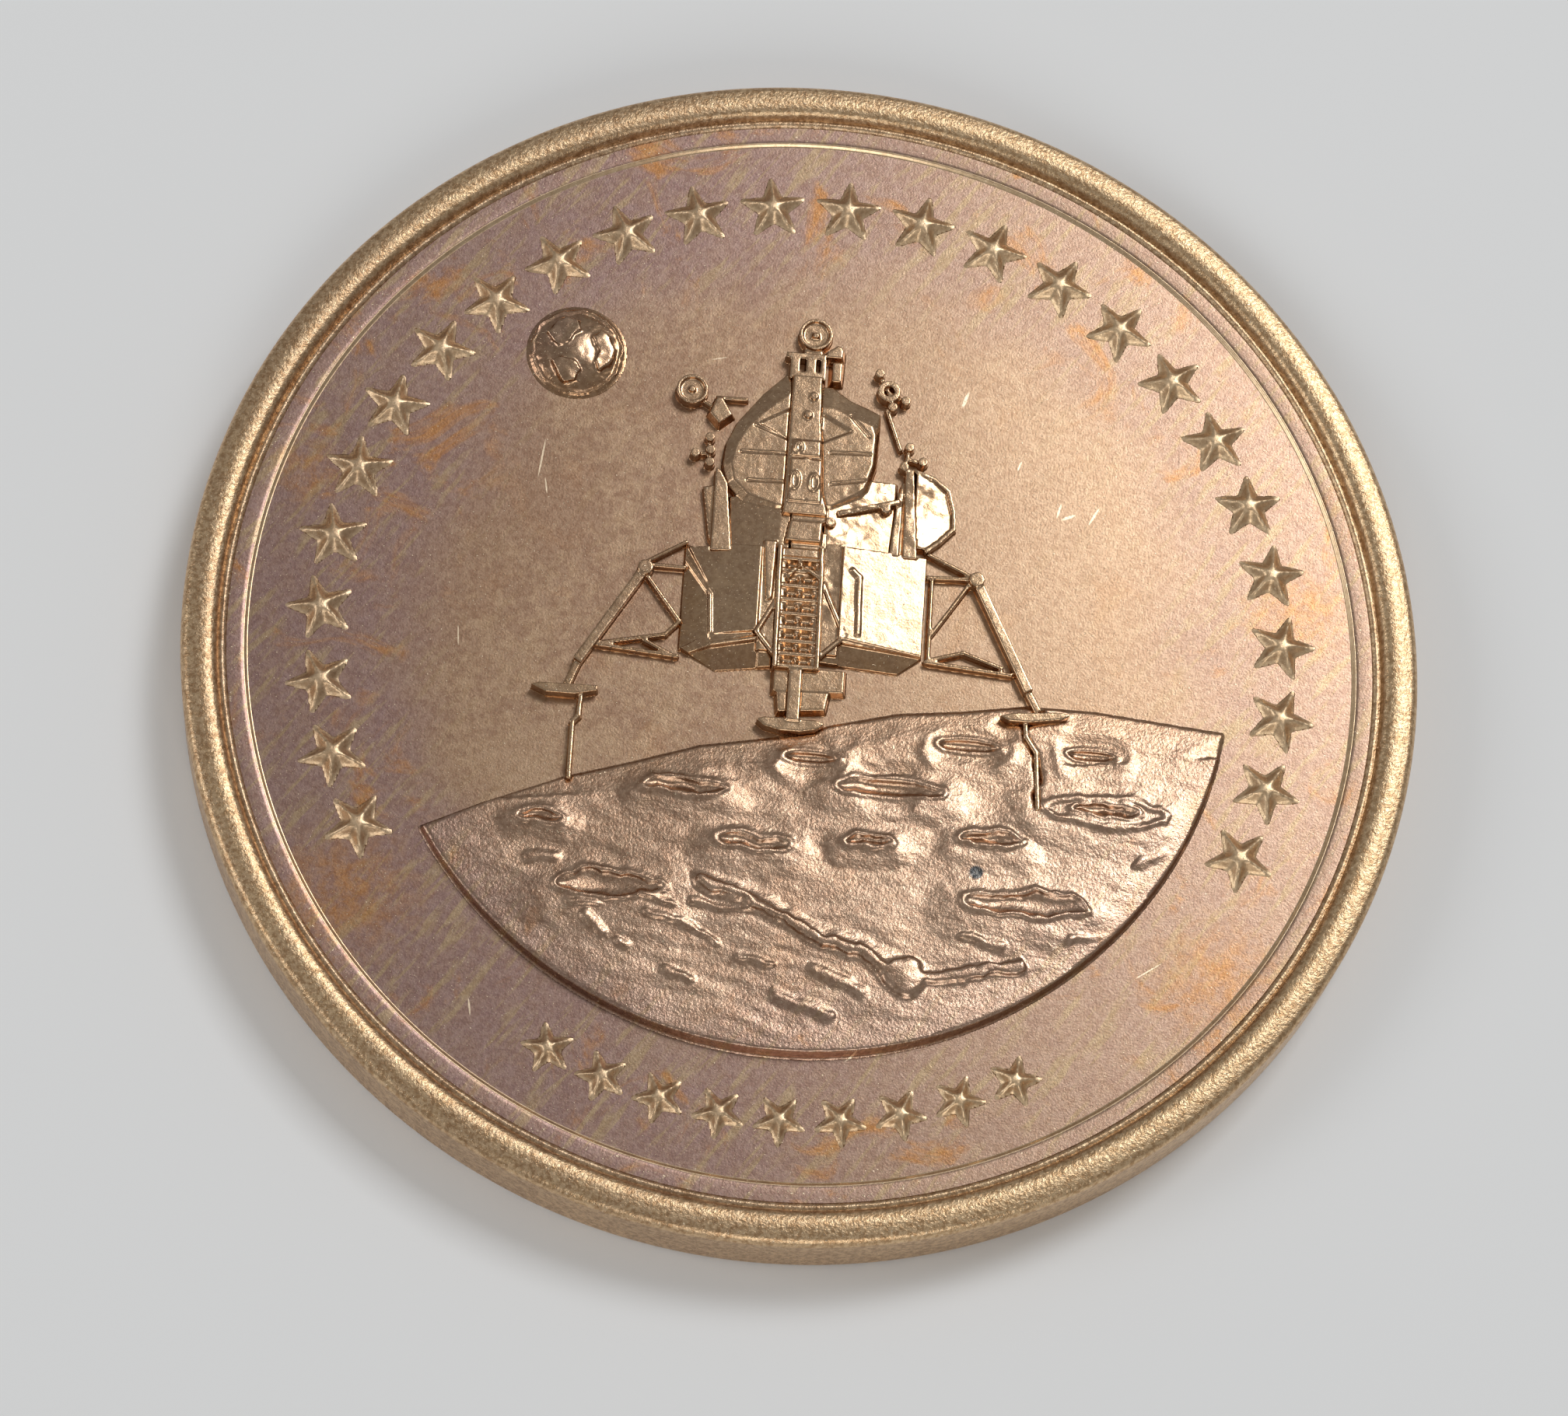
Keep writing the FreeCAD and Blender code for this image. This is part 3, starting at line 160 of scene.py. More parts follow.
def fed(tree, made, **inputs):
    """Gives a node's inputs, each a value or another node's output. Returns the node."""
    for name, value in inputs.items():
        socket = made.inputs[int(name[1:]) if name[0] == "n" and name[1:].isdigit() else name]
        if isinstance(value, bpy.types.NodeSocket):
            tree.links.new(value, socket)
        else:
            socket.default_value = value
    return made


def sums(tree, operation, *terms, clamp=False):
    """The output of a Math node over its terms."""
    made = put(tree, "ShaderNodeMath", operation=operation, use_clamp=clamp)
    return fed(tree, made, **{f"n{i}": term for i, term in enumerate(terms)}).outputs[0]


def cloud(tree, place, size, detail=3.0, rough=0.5, twist=0.0):
    """Noise whose patches are about so many millimetres across."""
    made = put(tree, "ShaderNodeTexNoise")
    fed(tree, made, Vector=place, Scale=1.0 / size, Detail=detail, Roughness=rough,
        Distortion=twist)
    return made.outputs["Fac"]


def ramp(tree, value, low, high):
    """0 below low, 1 above high, and smooth between."""
    made = put(tree, "ShaderNodeMapRange", interpolation_type="SMOOTHSTEP")
    fed(tree, made, Value=value)
    made.inputs["From Min"].default_value = low
    made.inputs["From Max"].default_value = high
    return made.outputs[0]


def blended(tree, part, first, second, kind="MIX"):
    """A Mix node of two colours."""
    made = put(tree, "ShaderNodeMix", data_type="RGBA", blend_type=kind)
    fed(tree, made, n0=part, n6=first, n7=second)
    return made.outputs[2]


toning = bpy.data.node_groups.new("toning", "ShaderNodeTree")
group_socket(toning, "Metal", "NodeSocketColor", "INPUT", warm_bronze)
group_socket(toning, "Amount", "NodeSocketFloat", "INPUT", 1.0)
group_socket(toning, "Recess", "NodeSocketFloat", "INPUT", 0.0)
group_socket(toning, "Color", "NodeSocketColor", "OUTPUT")
group_socket(toning, "Mask", "NodeSocketFloat", "OUTPUT")
given = put(toning, "NodeGroupInput").outputs
place = put(toning, "ShaderNodeTexCoord").outputs["Object"]
in_mm = fed(toning, put(toning, "ShaderNodeVectorMath", operation="SCALE"), n0=place, Scale=1000.0)
in_mm = in_mm.outputs[0]
parts = fed(toning, put(toning, "ShaderNodeSeparateXYZ"), n0=in_mm).outputs
flat = fed(toning, put(toning, "ShaderNodeCombineXYZ"), n0=parts[0], n1=parts[1]).outputs[0]
from_middle = put(toning, "ShaderNodeVectorMath", operation="LENGTH")
from_middle = fed(toning, from_middle, n0=flat).outputs["Value"]
wide_cloud = cloud(toning, in_mm, 6.0, 4.0, 0.6, 0.6)
fine_cloud = cloud(toning, in_mm, 0.5, 5.0, 0.7, 0.3)
leftward = ramp(toning, sums(toning, "MULTIPLY_ADD", wide_cloud, 8.0, parts[0]), 12.0, -1.0)
edge_of_border = sums(toning, "MULTIPLY_ADD", wide_cloud, 5.0, from_middle)
border = sums(toning, "MULTIPLY", ramp(toning, edge_of_border, 12.8, 16.4),
              ramp(toning, from_middle, 18.1, 17.7))
mottled = ramp(toning, fine_cloud, 0.34, 0.66)
patches = ramp(toning, sums(toning, "MULTIPLY_ADD", fine_cloud, 0.5, wide_cloud), 0.55, 0.95)
patches = sums(toning, "ADD", patches, sums(toning, "MULTIPLY", mottled, 0.6), clamp=True)
patches = sums(toning, "MULTIPLY", patches, sums(toning, "MULTIPLY_ADD", leftward, 0.75, 0.2))
patches = sums(toning, "MULTIPLY", patches, given["Amount"])
violet = sums(toning, "MULTIPLY", border, sums(toning, "MULTIPLY_ADD", leftward, 0.45, 0.45))
violet = sums(toning, "MULTIPLY", violet, sums(toning, "MULTIPLY_ADD", mottled, -0.4, 1.0))
violet = sums(toning, "MULTIPLY", violet, given["Amount"])
wiped = put(toning, "ShaderNodeMapping", vector_type="TEXTURE")
fed(toning, wiped, Vector=in_mm)
wiped.inputs["Rotation"].default_value = (0.0, 0.0, math.radians(55.0))
wiped.inputs["Scale"].default_value = (2.4, 0.35, 2.4)
smears = cloud(toning, wiped.outputs[0], 1.0, 3.0, 0.6, 0.4)
smears = sums(toning, "MULTIPLY", ramp(toning, smears, 0.50, 0.66),
              sums(toning, "MULTIPLY_ADD", border, 0.5, 0.12))
smears = sums(toning, "MULTIPLY", smears, given["Amount"])
stain = ramp(toning, cloud(toning, in_mm, 2.8, 5.0, 0.65, 0.9), 0.55, 0.70)
stain = sums(toning, "MULTIPLY", stain, sums(toning, "MULTIPLY_ADD", border, 0.62, 0.10))
placed_stains = ((-13.4, -9.2, 2.8), (15.2, 2.4, 2.0), (13.2, -9.8, 2.6), (-15.6, 4.4, 1.3))
for spot_x, spot_y, spread in placed_stains:
    away = fed(toning, put(toning, "ShaderNodeVectorMath", operation="DISTANCE"),
               n0=flat, n1=(spot_x, spot_y, 0.0)).outputs["Value"]
    away = sums(toning, "MULTIPLY_ADD", fine_cloud, -1.6, away)
    spot = sums(toning, "MULTIPLY", ramp(toning, away, spread - 0.6, -1.2),
                sums(toning, "MULTIPLY_ADD", mottled, 0.5, 0.2))
    stain = sums(toning, "MAXIMUM", stain, spot)
stain = sums(toning, "MULTIPLY", stain, given["Amount"])
# Painted shade: low in the relief the metal is painted darker and redder, by the Recess amount.
recess = sums(toning, "MULTIPLY", ramp(toning, parts[2], 2.50, 2.14), given["Recess"])
metal = blended(toning, recess, given["Metal"], recess_shade_bronze)
metal = blended(toning, patches, metal, brown_bronze)
metal = blended(toning, violet, metal, violet_bronze)
metal = blended(toning, smears, metal, olive_bronze)
metal = blended(toning, stain, metal, rust_bronze)
away = fed(toning, put(toning, "ShaderNodeVectorMath", operation="DISTANCE"),
           n0=in_mm, n1=fleck_place).outputs["Value"]
away = sums(toning, "MULTIPLY_ADD", fine_cloud, 0.2, away)
metal = blended(toning, ramp(toning, away, 0.38, 0.26), metal, fleck_grey)
told = put(toning, "NodeGroupOutput").inputs
toning.links.new(metal, told["Color"])
toning.links.new(sums(toning, "MAXIMUM", patches, violet), told["Mask"])

# Fine marks from handling: a few bright ticks and scratches in the field, each given as x, y,
# its turn in degrees, half its length and half its width, with lengths in millimetres.
scratches = bpy.data.node_groups.new("scratches", "ShaderNodeTree")
group_socket(scratches, "Mark", "NodeSocketFloat", "OUTPUT")
place = put(scratches, "ShaderNodeTexCoord").outputs["Object"]
field_marks = (
    (-8.5, 5.5, 84.0, 0.75, 0.035), (-8.3, 4.6, 100.0, 0.30, 0.030),
    (4.6, 8.7, 72.0, 0.34, 0.070), (8.0, 5.0, 25.0, 0.28, 0.060),
    (7.7, 5.2, 75.0, 0.30, 0.045), (8.8, 5.1, 62.0, 0.40, 0.045),
    (6.4, 6.6, 70.0, 0.22, 0.040), (-10.6, -0.6, 95.0, 0.40, 0.025),
    (2.2, -13.0, 40.0, 0.35, 0.03), (-9.3, -12.4, 100.0, 0.32, 0.035),
    (11.0, -9.6, 35.0, 0.55, 0.025), (-3.2, 9.4, 15.0, 0.30, 0.02))
mark_height = 2.1
mark_deep = 0.5
marks = None
for mark_x, mark_y, turn, long, wide in field_marks:
    lie = put(scratches, "ShaderNodeMapping", vector_type="TEXTURE")
    fed(scratches, lie, Vector=place)
    lie.inputs["Location"].default_value = (mark_x * MM, mark_y * MM, mark_height * MM)
    lie.inputs["Rotation"].default_value = (0.0, 0.0, math.radians(turn))
    lie.inputs["Scale"].default_value = (long * MM, wide * MM, mark_deep * MM)
    away = fed(scratches, put(scratches, "ShaderNodeVectorMath", operation="LENGTH"),
               n0=lie.outputs[0]).outputs["Value"]
    mark = ramp(scratches, away, 1.0, 0.6)
    marks = mark if marks is None else sums(scratches, "MAXIMUM", marks, mark)
told = put(scratches, "NodeGroupOutput").inputs
scratches.links.new(marks, told["Mark"])

# The struck grain: fine bumps, a mottled speckle, and rare glints that stand up a little.
grain = bpy.data.node_groups.new("grain", "ShaderNodeTree")
group_socket(grain, "Size", "NodeSocketFloat", "INPUT", 0.08)
group_socket(grain, "Height", "NodeSocketFloat", "OUTPUT")
group_socket(grain, "Speckle", "NodeSocketFloat", "OUTPUT")
group_socket(grain, "PaintedGlint", "NodeSocketFloat", "OUTPUT")
given = put(grain, "NodeGroupInput").outputs
place = put(grain, "ShaderNodeTexCoord").outputs["Object"]
in_mm = fed(grain, put(grain, "ShaderNodeVectorMath", operation="SCALE"), n0=place, Scale=1000.0)
in_mm = in_mm.outputs[0]
fine = put(grain, "ShaderNodeTexNoise")
fed(grain, fine, Vector=in_mm, Scale=sums(grain, "DIVIDE", 1.0, given["Size"]), Detail=3.0,
    Roughness=0.6)
specks = cloud(grain, in_mm, 0.06, 0.0)
# The glints stand up a little in the bump; their pale colour, given out apart, is a painted
# highlight.
glints = ramp(grain, specks, 0.75, 0.81)
height = sums(grain, "MULTIPLY_ADD", glints, 2.5, fine.outputs["Fac"])
told = put(grain, "NodeGroupOutput").inputs
grain.links.new(height, told["Height"])
grain.links.new(ramp(grain, cloud(grain, in_mm, 0.17, 4.0, 0.75), 0.38, 0.62), told["Speckle"])
grain.links.new(glints, told["PaintedGlint"])


def bronze(name, metal, toned, grain_size, grain_high, smooth, matt, speckled, recess=0.0):
    """The medal's bronze: its colour and how far it has toned, the size and height of its
    grain in millimetres, its roughness where clean and where toned, how strongly the grain is
    mottled, and how much painted shade makes it darker and redder low in the relief. Its rare
    glints are painted pale, as painted highlights."""
    material = bpy.data.materials.new(name)
    material.use_nodes = True
    tree = material.node_tree
    shader = tree.nodes["Principled BSDF"]
    shader.inputs["Metallic"].default_value = 1.0
    tones = fed(tree, put(tree, "ShaderNodeGroup", node_tree=toning), Metal=metal, Amount=toned,
                Recess=recess)
    grains = fed(tree, put(tree, "ShaderNodeGroup", node_tree=grain), Size=grain_size)
    marks = put(tree, "ShaderNodeGroup", node_tree=scratches)
    dark = sums(tree, "MULTIPLY_ADD", grains.outputs["Speckle"], -speckled, speckled)
    colour = blended(tree, dark, tones.outputs["Color"], shaded_bronze, "MULTIPLY")
    paler = sums(tree, "MULTIPLY", grains.outputs["Speckle"], 0.15 * speckled)
    paler = sums(tree, "MULTIPLY_ADD", marks.outputs["Mark"], 0.8, paler, clamp=True)
    # Painted highlight: the rare glints are painted pale whatever the light.
    paler = sums(tree, "MULTIPLY_ADD", grains.outputs["PaintedGlint"], 0.7, paler, clamp=True)
    colour = blended(tree, paler, colour, pale_and_painted_glint_bronze)
    tree.links.new(colour, shader.inputs["Base Color"])
    rough = put(tree, "ShaderNodeMapRange")
    fed(tree, rough, Value=tones.outputs["Mask"])
    rough.inputs["To Min"].default_value = smooth
    rough.inputs["To Max"].default_value = matt
    tree.links.new(rough.outputs[0], shader.inputs["Roughness"])
    bump = put(tree, "ShaderNodeBump")
    fed(tree, bump, Distance=grain_high * MM, Height=grains.outputs["Height"])
    tree.links.new(bump.outputs["Normal"], shader.inputs["Normal"])
    return material


golden_bronze = (0.76, 0.53, 0.30, 1.0)
bright_bronze = (0.90, 0.66, 0.40, 1.0)
rubbed_bronze = (0.66, 0.44, 0.26, 1.0)
rosy_bronze = (0.64, 0.43, 0.30, 1.0)
field_bronze = bronze("field_bronze", warm_bronze, 1.0, 0.07, 0.005, 0.30, 0.36, 0.38)
rim_bronze = bronze("rim_bronze", golden_bronze, 0.35, 0.10, 0.020, 0.34, 0.40, 0.9)
star_bronze = bronze("star_bronze", bright_bronze, 0.2, 0.08, 0.008, 0.40, 0.44, 0.5)
relief_bronze = bronze("relief_bronze", rubbed_bronze, 0.5, 0.07, 0.004, 0.21, 0.27, 0.4, 0.75)
ground_bronze = bronze("ground_bronze", rosy_bronze, 0.7, 0.09, 0.013, 0.27, 0.33, 0.5, 0.35)
# The border line's pale colour is a painted highlight.
line_highlight_bronze = bronze("line_highlight_bronze", bright_bronze, 0.2, 0.07, 0.002, 0.30, 0.34, 0.4)

# The flan. The bronze disc that the dies struck, with its plain edge and, in front and behind,
# the flat field that everything stands on.
medal_radius = 19.05
field_height = 2.1
reverse_field = 0.35
round_segments = 360
crease = math.radians(40)


def turned(name, outline):
    """A closed ring of metal with the outline given as (radius, height) in millimetres."""
    bpy.ops.object.select_all(action="DESELECT")
    reach, height = outline[0]
    bpy.ops.mesh.primitive_circle_add(
        vertices=round_segments, radius=reach * MM, location=(0.0, 0.0, height * MM))
    ring = bpy.context.object
    ring.name = name
    bpy.ops.object.mode_set(mode="EDIT")
    bpy.ops.mesh.select_mode(type="EDGE")
    bpy.ops.mesh.select_all(action="SELECT")
    for next_reach, next_height in outline[1:]:
        bpy.ops.mesh.extrude_region_move(
            TRANSFORM_OT_translate={"value": (0.0, 0.0, (next_height - height) * MM)})
        spread = next_reach / reach
        bpy.ops.transform.resize(value=(spread, spread, 1.0), center_override=(0.0, 0.0, 0.0))
        reach, height = next_reach, next_height
    bpy.ops.mesh.select_all(action="DESELECT")
    bpy.ops.mesh.select_non_manifold()
    bpy.ops.mesh.bridge_edge_loops()
    bpy.ops.mesh.select_all(action="SELECT")
    bpy.ops.mesh.normals_make_consistent(inside=False)
    bpy.ops.object.mode_set(mode="OBJECT")
    bpy.ops.object.transform_apply(location=True, rotation=True, scale=True)
    bpy.ops.object.shade_smooth_by_angle(angle=crease)
    return ring


bpy.ops.object.select_all(action="DESELECT")
bpy.ops.mesh.primitive_circle_add(
    vertices=round_segments, radius=medal_radius * MM, fill_type="NGON",
    location=(0.0, 0.0, reverse_field * MM))
flan = bpy.context.object
flan.name = "flan_disc"
bpy.ops.object.mode_set(mode="EDIT")
bpy.ops.mesh.select_all(action="SELECT")
bpy.ops.mesh.extrude_region_move(
    TRANSFORM_OT_translate={"value": (0.0, 0.0, (field_height - reverse_field) * MM)})
bpy.ops.mesh.select_all(action="SELECT")
bpy.ops.mesh.normals_make_consistent(inside=False)
bpy.ops.object.mode_set(mode="OBJECT")
bpy.ops.object.transform_apply(location=True, rotation=True, scale=True)
bpy.ops.object.shade_smooth_by_angle(angle=crease)
flan.data.materials.append(field_bronze)
flan.data.materials.append(rim_bronze)
for face in flan.data.polygons:
    on_the_side = abs(face.normal.z) < 0.5
    face.material_index = 1 if on_the_side else 0
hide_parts("medal_flan")
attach(flan, "root")

# The obverse rim. The raised border that the collar and the die squeezed up, with a gently
# rounded crown that has rubbed to a golden, finely speckled matt, and a fine bead at its foot.
rim_inside = 17.9
corner_round = 0.3
corner_height = 2.26
crown = [(medal_radius, field_height)]
for step in range(9):
    turn = math.radians(step * 10)
    crown.append((medal_radius - corner_round + corner_round * math.cos(turn),
                  corner_height + corner_round * math.sin(turn)))
crown += [(18.60, 2.585), (18.45, 2.6), (18.30, 2.593), (18.15, 2.565), (18.05, 2.52),
          (17.97, 2.43), (17.93, 2.32), (rim_inside, 2.26), (17.86, 2.27), (17.81, 2.29),
          (17.76, 2.28), (17.71, 2.245), (17.66, 2.20), (17.64, field_height)]
rim = turned("rim_crown", crown)
rim.data.materials.append(rim_bronze)
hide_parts("obverse_rim")
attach(rim, "root")

# The ledge and the border line. A low step runs inside the rim's bead, and a fine raised line,
# painted pale as a painted highlight, marks where the step ends.
ledge = turned("ledge_step", [
    (17.70, field_height), (17.70, 2.19), (17.26, 2.19), (17.16, 2.18), (17.10, 2.15),
    (17.07, field_height)])
ledge.data.materials.append(field_bronze)
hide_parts("obverse_ledge")
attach(ledge, "root")
line_wide = 0.26
line_rise = 0.08
line_proud = 0.05
line_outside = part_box("obverse_border_line")[1].x / MM + line_proud
bead_steps = 12
bead = []
for step in range(bead_steps + 1):
    share = step / bead_steps
    bead.append((line_outside - share * line_wide,
                 field_height + line_rise * math.sin(math.pi * share) ** 2))
border_line = turned("border_line", bead)
border_line.data.materials.append(line_highlight_bronze)
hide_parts("obverse_border_line")
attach(border_line, "root")

# The lander. A shallow relief struck into the field, whose separate parts run into each other
# with soft edges, as metal does when it flows into a die.


def flowed(name, nodes, cell, rounds, base=field_height, way=1, packing=()):
    """One skin in millimetres over some of the raised parts and a plate under them, with
    edges softened over about a cell. The way is 1 in front and -1 behind. The packing fills
    gaps between parts with blocks (low x, low y, high x, high y, top)."""
    bpy.ops.object.select_all(action="DESELECT")
    for node in nodes:
        frame["nodes"][node].select_set(True)
    bpy.context.view_layer.objects.active = frame["nodes"][nodes[0]]
    bpy.ops.object.duplicate()
    if len(nodes) > 1:
        bpy.ops.object.join()
    bpy.ops.object.parent_clear(type="CLEAR_KEEP_TRANSFORM")
    skin = bpy.context.object
    skin.name = name
    skin.data.materials.clear()
    for key in [key for key in skin.keys() if key.startswith("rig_")]:
        del skin[key]
    corners = [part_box(node) for node in nodes]
    low = [min(corner[0][i] for corner in corners) for i in range(3)]
    high = [max(corner[1][i] for corner in corners) for i in range(3)]
    margin = 0.35 * MM
    plate = 0.30 * MM
    middle = ((low[0] + high[0]) / 2, (low[1] + high[1]) / 2, base * MM - way * plate / 2)
    bpy.ops.object.mode_set(mode="EDIT")
    bpy.ops.mesh.select_mode(type="VERT")
    bpy.ops.mesh.select_all(action="SELECT")
    bpy.ops.mesh.remove_doubles(threshold=1e-7)
    bpy.ops.mesh.primitive_cube_add(size=1.0, location=middle)
    bpy.ops.transform.resize(
        value=(high[0] - low[0] + 2 * margin, high[1] - low[1] + 2 * margin, plate),
        center_override=middle)
    for low_x, low_y, high_x, high_y, top in packing:
        middle = ((low_x + high_x) / 2 * MM, (low_y + high_y) / 2 * MM, (base + top) / 2 * MM)
        bpy.ops.mesh.primitive_cube_add(size=1.0, location=middle)
        bpy.ops.transform.resize(
            value=((high_x - low_x) * MM, (high_y - low_y) * MM, (top - base) * MM),
            center_override=middle)
    bpy.ops.mesh.select_all(action="SELECT")
    bpy.ops.transform.resize(value=(1 / MM, 1 / MM, 1 / MM), center_override=(0.0, 0.0, 0.0))
    bpy.ops.object.mode_set(mode="OBJECT")
    flow = skin.modifiers.new("flow", "REMESH")
    flow.mode = "VOXEL"
    flow.voxel_size = cell
    flow.use_smooth_shade = True
    bpy.ops.object.modifier_apply(modifier=flow.name)
    soften = skin.modifiers.new("soften", "SMOOTH")
    soften.factor = 0.5
    soften.iterations = rounds
    bpy.ops.object.modifier_apply(modifier=soften.name)
    return skin


def weighed(skin, name, weigh):
    """Names a group of a skin's points, each held as fast as the given function says."""
    group = skin.vertex_groups.new(name=name)
    for point in skin.data.vertices:
        weight = weigh(point.co)
        if weight > 0.01:
            group.add([point.index], weight, "REPLACE")
    return group.name


def raised(point):
    """1 above the field and 0 at it."""
    return 1.0 if point.z - field_height > 0.05 else 0.0


def near(point, spans):
    """1 along any of the spans (x, y, x, y, reach), falling softly to 0 at its reach."""
    best = 0.0
    for from_x, from_y, to_x, to_y, reach in spans:
        run_x, run_y = to_x - from_x, to_y - from_y
        off_x, off_y = point.x - from_x, point.y - from_y
        along = (off_x * run_x + off_y * run_y) / max(run_x * run_x + run_y * run_y, 1e-6)
        along = min(1.0, max(0.0, along))
        gap = math.hypot(off_x - run_x * along, off_y - run_y * along) / reach
        if gap < 1.0:
            best = max(best, (1.0 - gap * gap) ** 2)
    return best


def swollen(skin, group, high):
    """Lifts a group of a skin's points by that many millimetres."""
    swell = skin.modifiers.new("swell", "DISPLACE")
    swell.direction = "Z"
    swell.mid_level = 0.0
    swell.strength = high
    swell.vertex_group = group
    bpy.context.view_layer.objects.active = skin
    bpy.ops.object.modifier_apply(modifier=swell.name)


wave_starts = {"X": 7.0, "Y": 19.0, "Z": 0.0}
wave_lean = math.radians(-4.0)


def rippled(skin, group, high, size, stretch=1.0, way="Z"):
    """Waves a group of a skin's points along an axis: how high, how wide and how many times
    longer than wide, in millimetres."""
    ripple = bpy.data.textures.new(skin.name + "_ripple", "CLOUDS")
    ripple.noise_scale = size
    ripple.noise_depth = 2
    bpy.ops.object.empty_add()
    guide = bpy.context.object
    guide.location.x = wave_starts[way]
    guide.scale = (stretch, 1.0, 1.0)
    guide.rotation_euler.z = wave_lean
    wavy = skin.modifiers.new("wavy", "DISPLACE")
    wavy.texture = ripple
    wavy.texture_coords = "OBJECT"
    wavy.texture_coords_object = guide
    wavy.direction = way
    wavy.strength = high
    wavy.vertex_group = group
    bpy.context.view_layer.objects.active = skin
    bpy.ops.object.modifier_apply(modifier=wavy.name)
    bpy.data.objects.remove(guide)


cut_above = 0.006
foot_sunk = 0.008


def settled(skin, nodes, finish, base=field_height, way=1):
    """Cuts a skin off just over the field, sinks its foot into the field, gives it its metal
    and puts it in the place of its nodes."""
    skin.vertex_groups.clear()
    bpy.ops.object.select_all(action="DESELECT")
    skin.select_set(True)
    bpy.context.view_layer.objects.active = skin
    bpy.ops.object.mode_set(mode="EDIT")
    bpy.ops.mesh.select_all(action="SELECT")
    bpy.ops.mesh.bisect(
        plane_co=(0.0, 0.0, base + way * cut_above), plane_no=(0.0, 0.0, way), use_fill=True,
        clear_inner=True, threshold=1e-6)
    bpy.ops.mesh.select_all(action="SELECT")
    bpy.ops.transform.translate(value=(0.0, 0.0, -way * foot_sunk))
    bpy.ops.transform.resize(value=(MM, MM, MM), center_override=(0.0, 0.0, 0.0))
    bpy.ops.object.mode_set(mode="OBJECT")
    skin.data.materials.append(finish)
    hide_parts(*nodes)
    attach(skin, "root")


lower_folds = ((-4.2, -0.86, -2.90, -0.36), (-2.90, -0.36, -1.42, -0.03),
               (1.06, 0.16, 3.9, -0.20))
fold_soft = 0.06


def underneath(point):
    """1 on the sloping underside of the descent stage, below its lower fold lines."""
    for from_x, from_y, to_x, to_y in lower_folds:
        if from_x < point.x < to_x:
            edge = from_y + (to_y - from_y) * (point.x - from_x) / (to_x - from_x)
            return raised(point) * min(1.0, max(0.0, (edge - point.y) / fold_soft))
    return 0.0


seams = ((-1.95, 7.05, -0.95, 6.65, 0.08), (-2.35, 6.1, -0.75, 6.15, 0.07),
         (-2.1, 5.15, -0.7, 5.2, 0.07), (0.44, 6.3, 1.66, 6.35, 0.07),
         (0.5, 5.25, 1.55, 5.45, 0.07), (1.0, 7.6, 1.6, 6.95, 0.07))
folds_left = ((-3.88, 2.52, -3.01, 1.30, 0.09), (-3.01, 1.30, -2.92, -0.10, 0.09),
              (-3.66, -0.73, -2.90, -0.31, 0.09), (-2.90, -0.31, -1.35, 0.04, 0.09))
gap_long = 0.20
gap_reach = 0.17
rung_gaps = [(x, y, x + gap_long, y, gap_reach) for x in (-0.61, -0.12)
             for y in (2.45, 2.00, 1.52, 1.06, 0.60, 0.14, -0.29, -0.70)]
chased_lines = {"cabin_relief": (seams, -0.04), "descent_relief": (folds_left, 0.045),
                "ladder_relief": (rung_gaps, -0.13)}
uneven_places = ((3.2, 4.4, 3.5, 6.0, 1.5), (1.0, 3.6, 1.9, 4.9, 1.3), (0.7, 1.2, 0.7, 2.6, 0.8))
hatch_gap = [(-0.40, 4.60, -0.22, 5.98, 2.79)]
porch_gaps = [(-0.66, 3.95, 0.50, 4.35, 2.58), (-0.62, 3.0, 0.48, 3.6, 2.54)]
underside_deep = 0.10
lander_cell = 0.028
lander_pieces = (
    ("masthead_relief", ["column_head", "masthead", "radar_dish"], ()),
    ("column_relief", ["ascent_column", "column_panels"], hatch_gap),
    ("cabin_relief", ["cabin_left", "cabin_right", "mid_body_left", "mid_body_right"], ()),
    ("tank_relief", ["tank_edge", "tank_bulge"], ()),
    ("antenna_relief", ["steerable_antenna", "antenna_arm"], ()),
    ("thruster_relief", ["thruster_left", "thruster_right", "thruster_rear", "deflector_left",
                         "deflector_right", "aft_boom"], ()),
    ("descent_relief", ["descent_centre", "descent_right_front", "descent_left_front",
                        "descent_left_side", "descent_rib", "descent_panel",
                        "descent_underside_left", "descent_underside_right"], ()),
    ("engine_relief", ["engine_bell"], ()),
    ("ladder_relief", ["ladder", "porch", "ladder_braces", "front_leg", "front_footpad"],
     porch_gaps),
    ("gear_relief_left", ["leg_left", "leg_truss_left", "outrigger_left", "footpad_left",
                          "probe_left"], ()),
    ("gear_relief_right", ["leg_right", "leg_truss_right", "outrigger_right", "footpad_right",
                           "probe_right"], ()))
for name, nodes, packing in lander_pieces:
    relief = flowed(name, nodes, lander_cell, 3, packing=packing)
    if name in chased_lines:
        spans, high = chased_lines[name]
        chased = weighed(relief, "chased", lambda point: raised(point) * near(point, spans))
        swollen(relief, chased, high)
    if name == "descent_relief":
        # Sinking the underside also darkens it with the painted shade given low in the relief.
        swollen(relief, weighed(relief, "underside", underneath), -underside_deep)
    uneven = weighed(relief, "uneven", lambda point: raised(point) * near(point, uneven_places))
    rippled(relief, uneven, 0.10, 0.9)
    rippled(relief, weighed(relief, "raised", raised), 0.014, 0.6)
    settled(relief, nodes, relief_bronze)

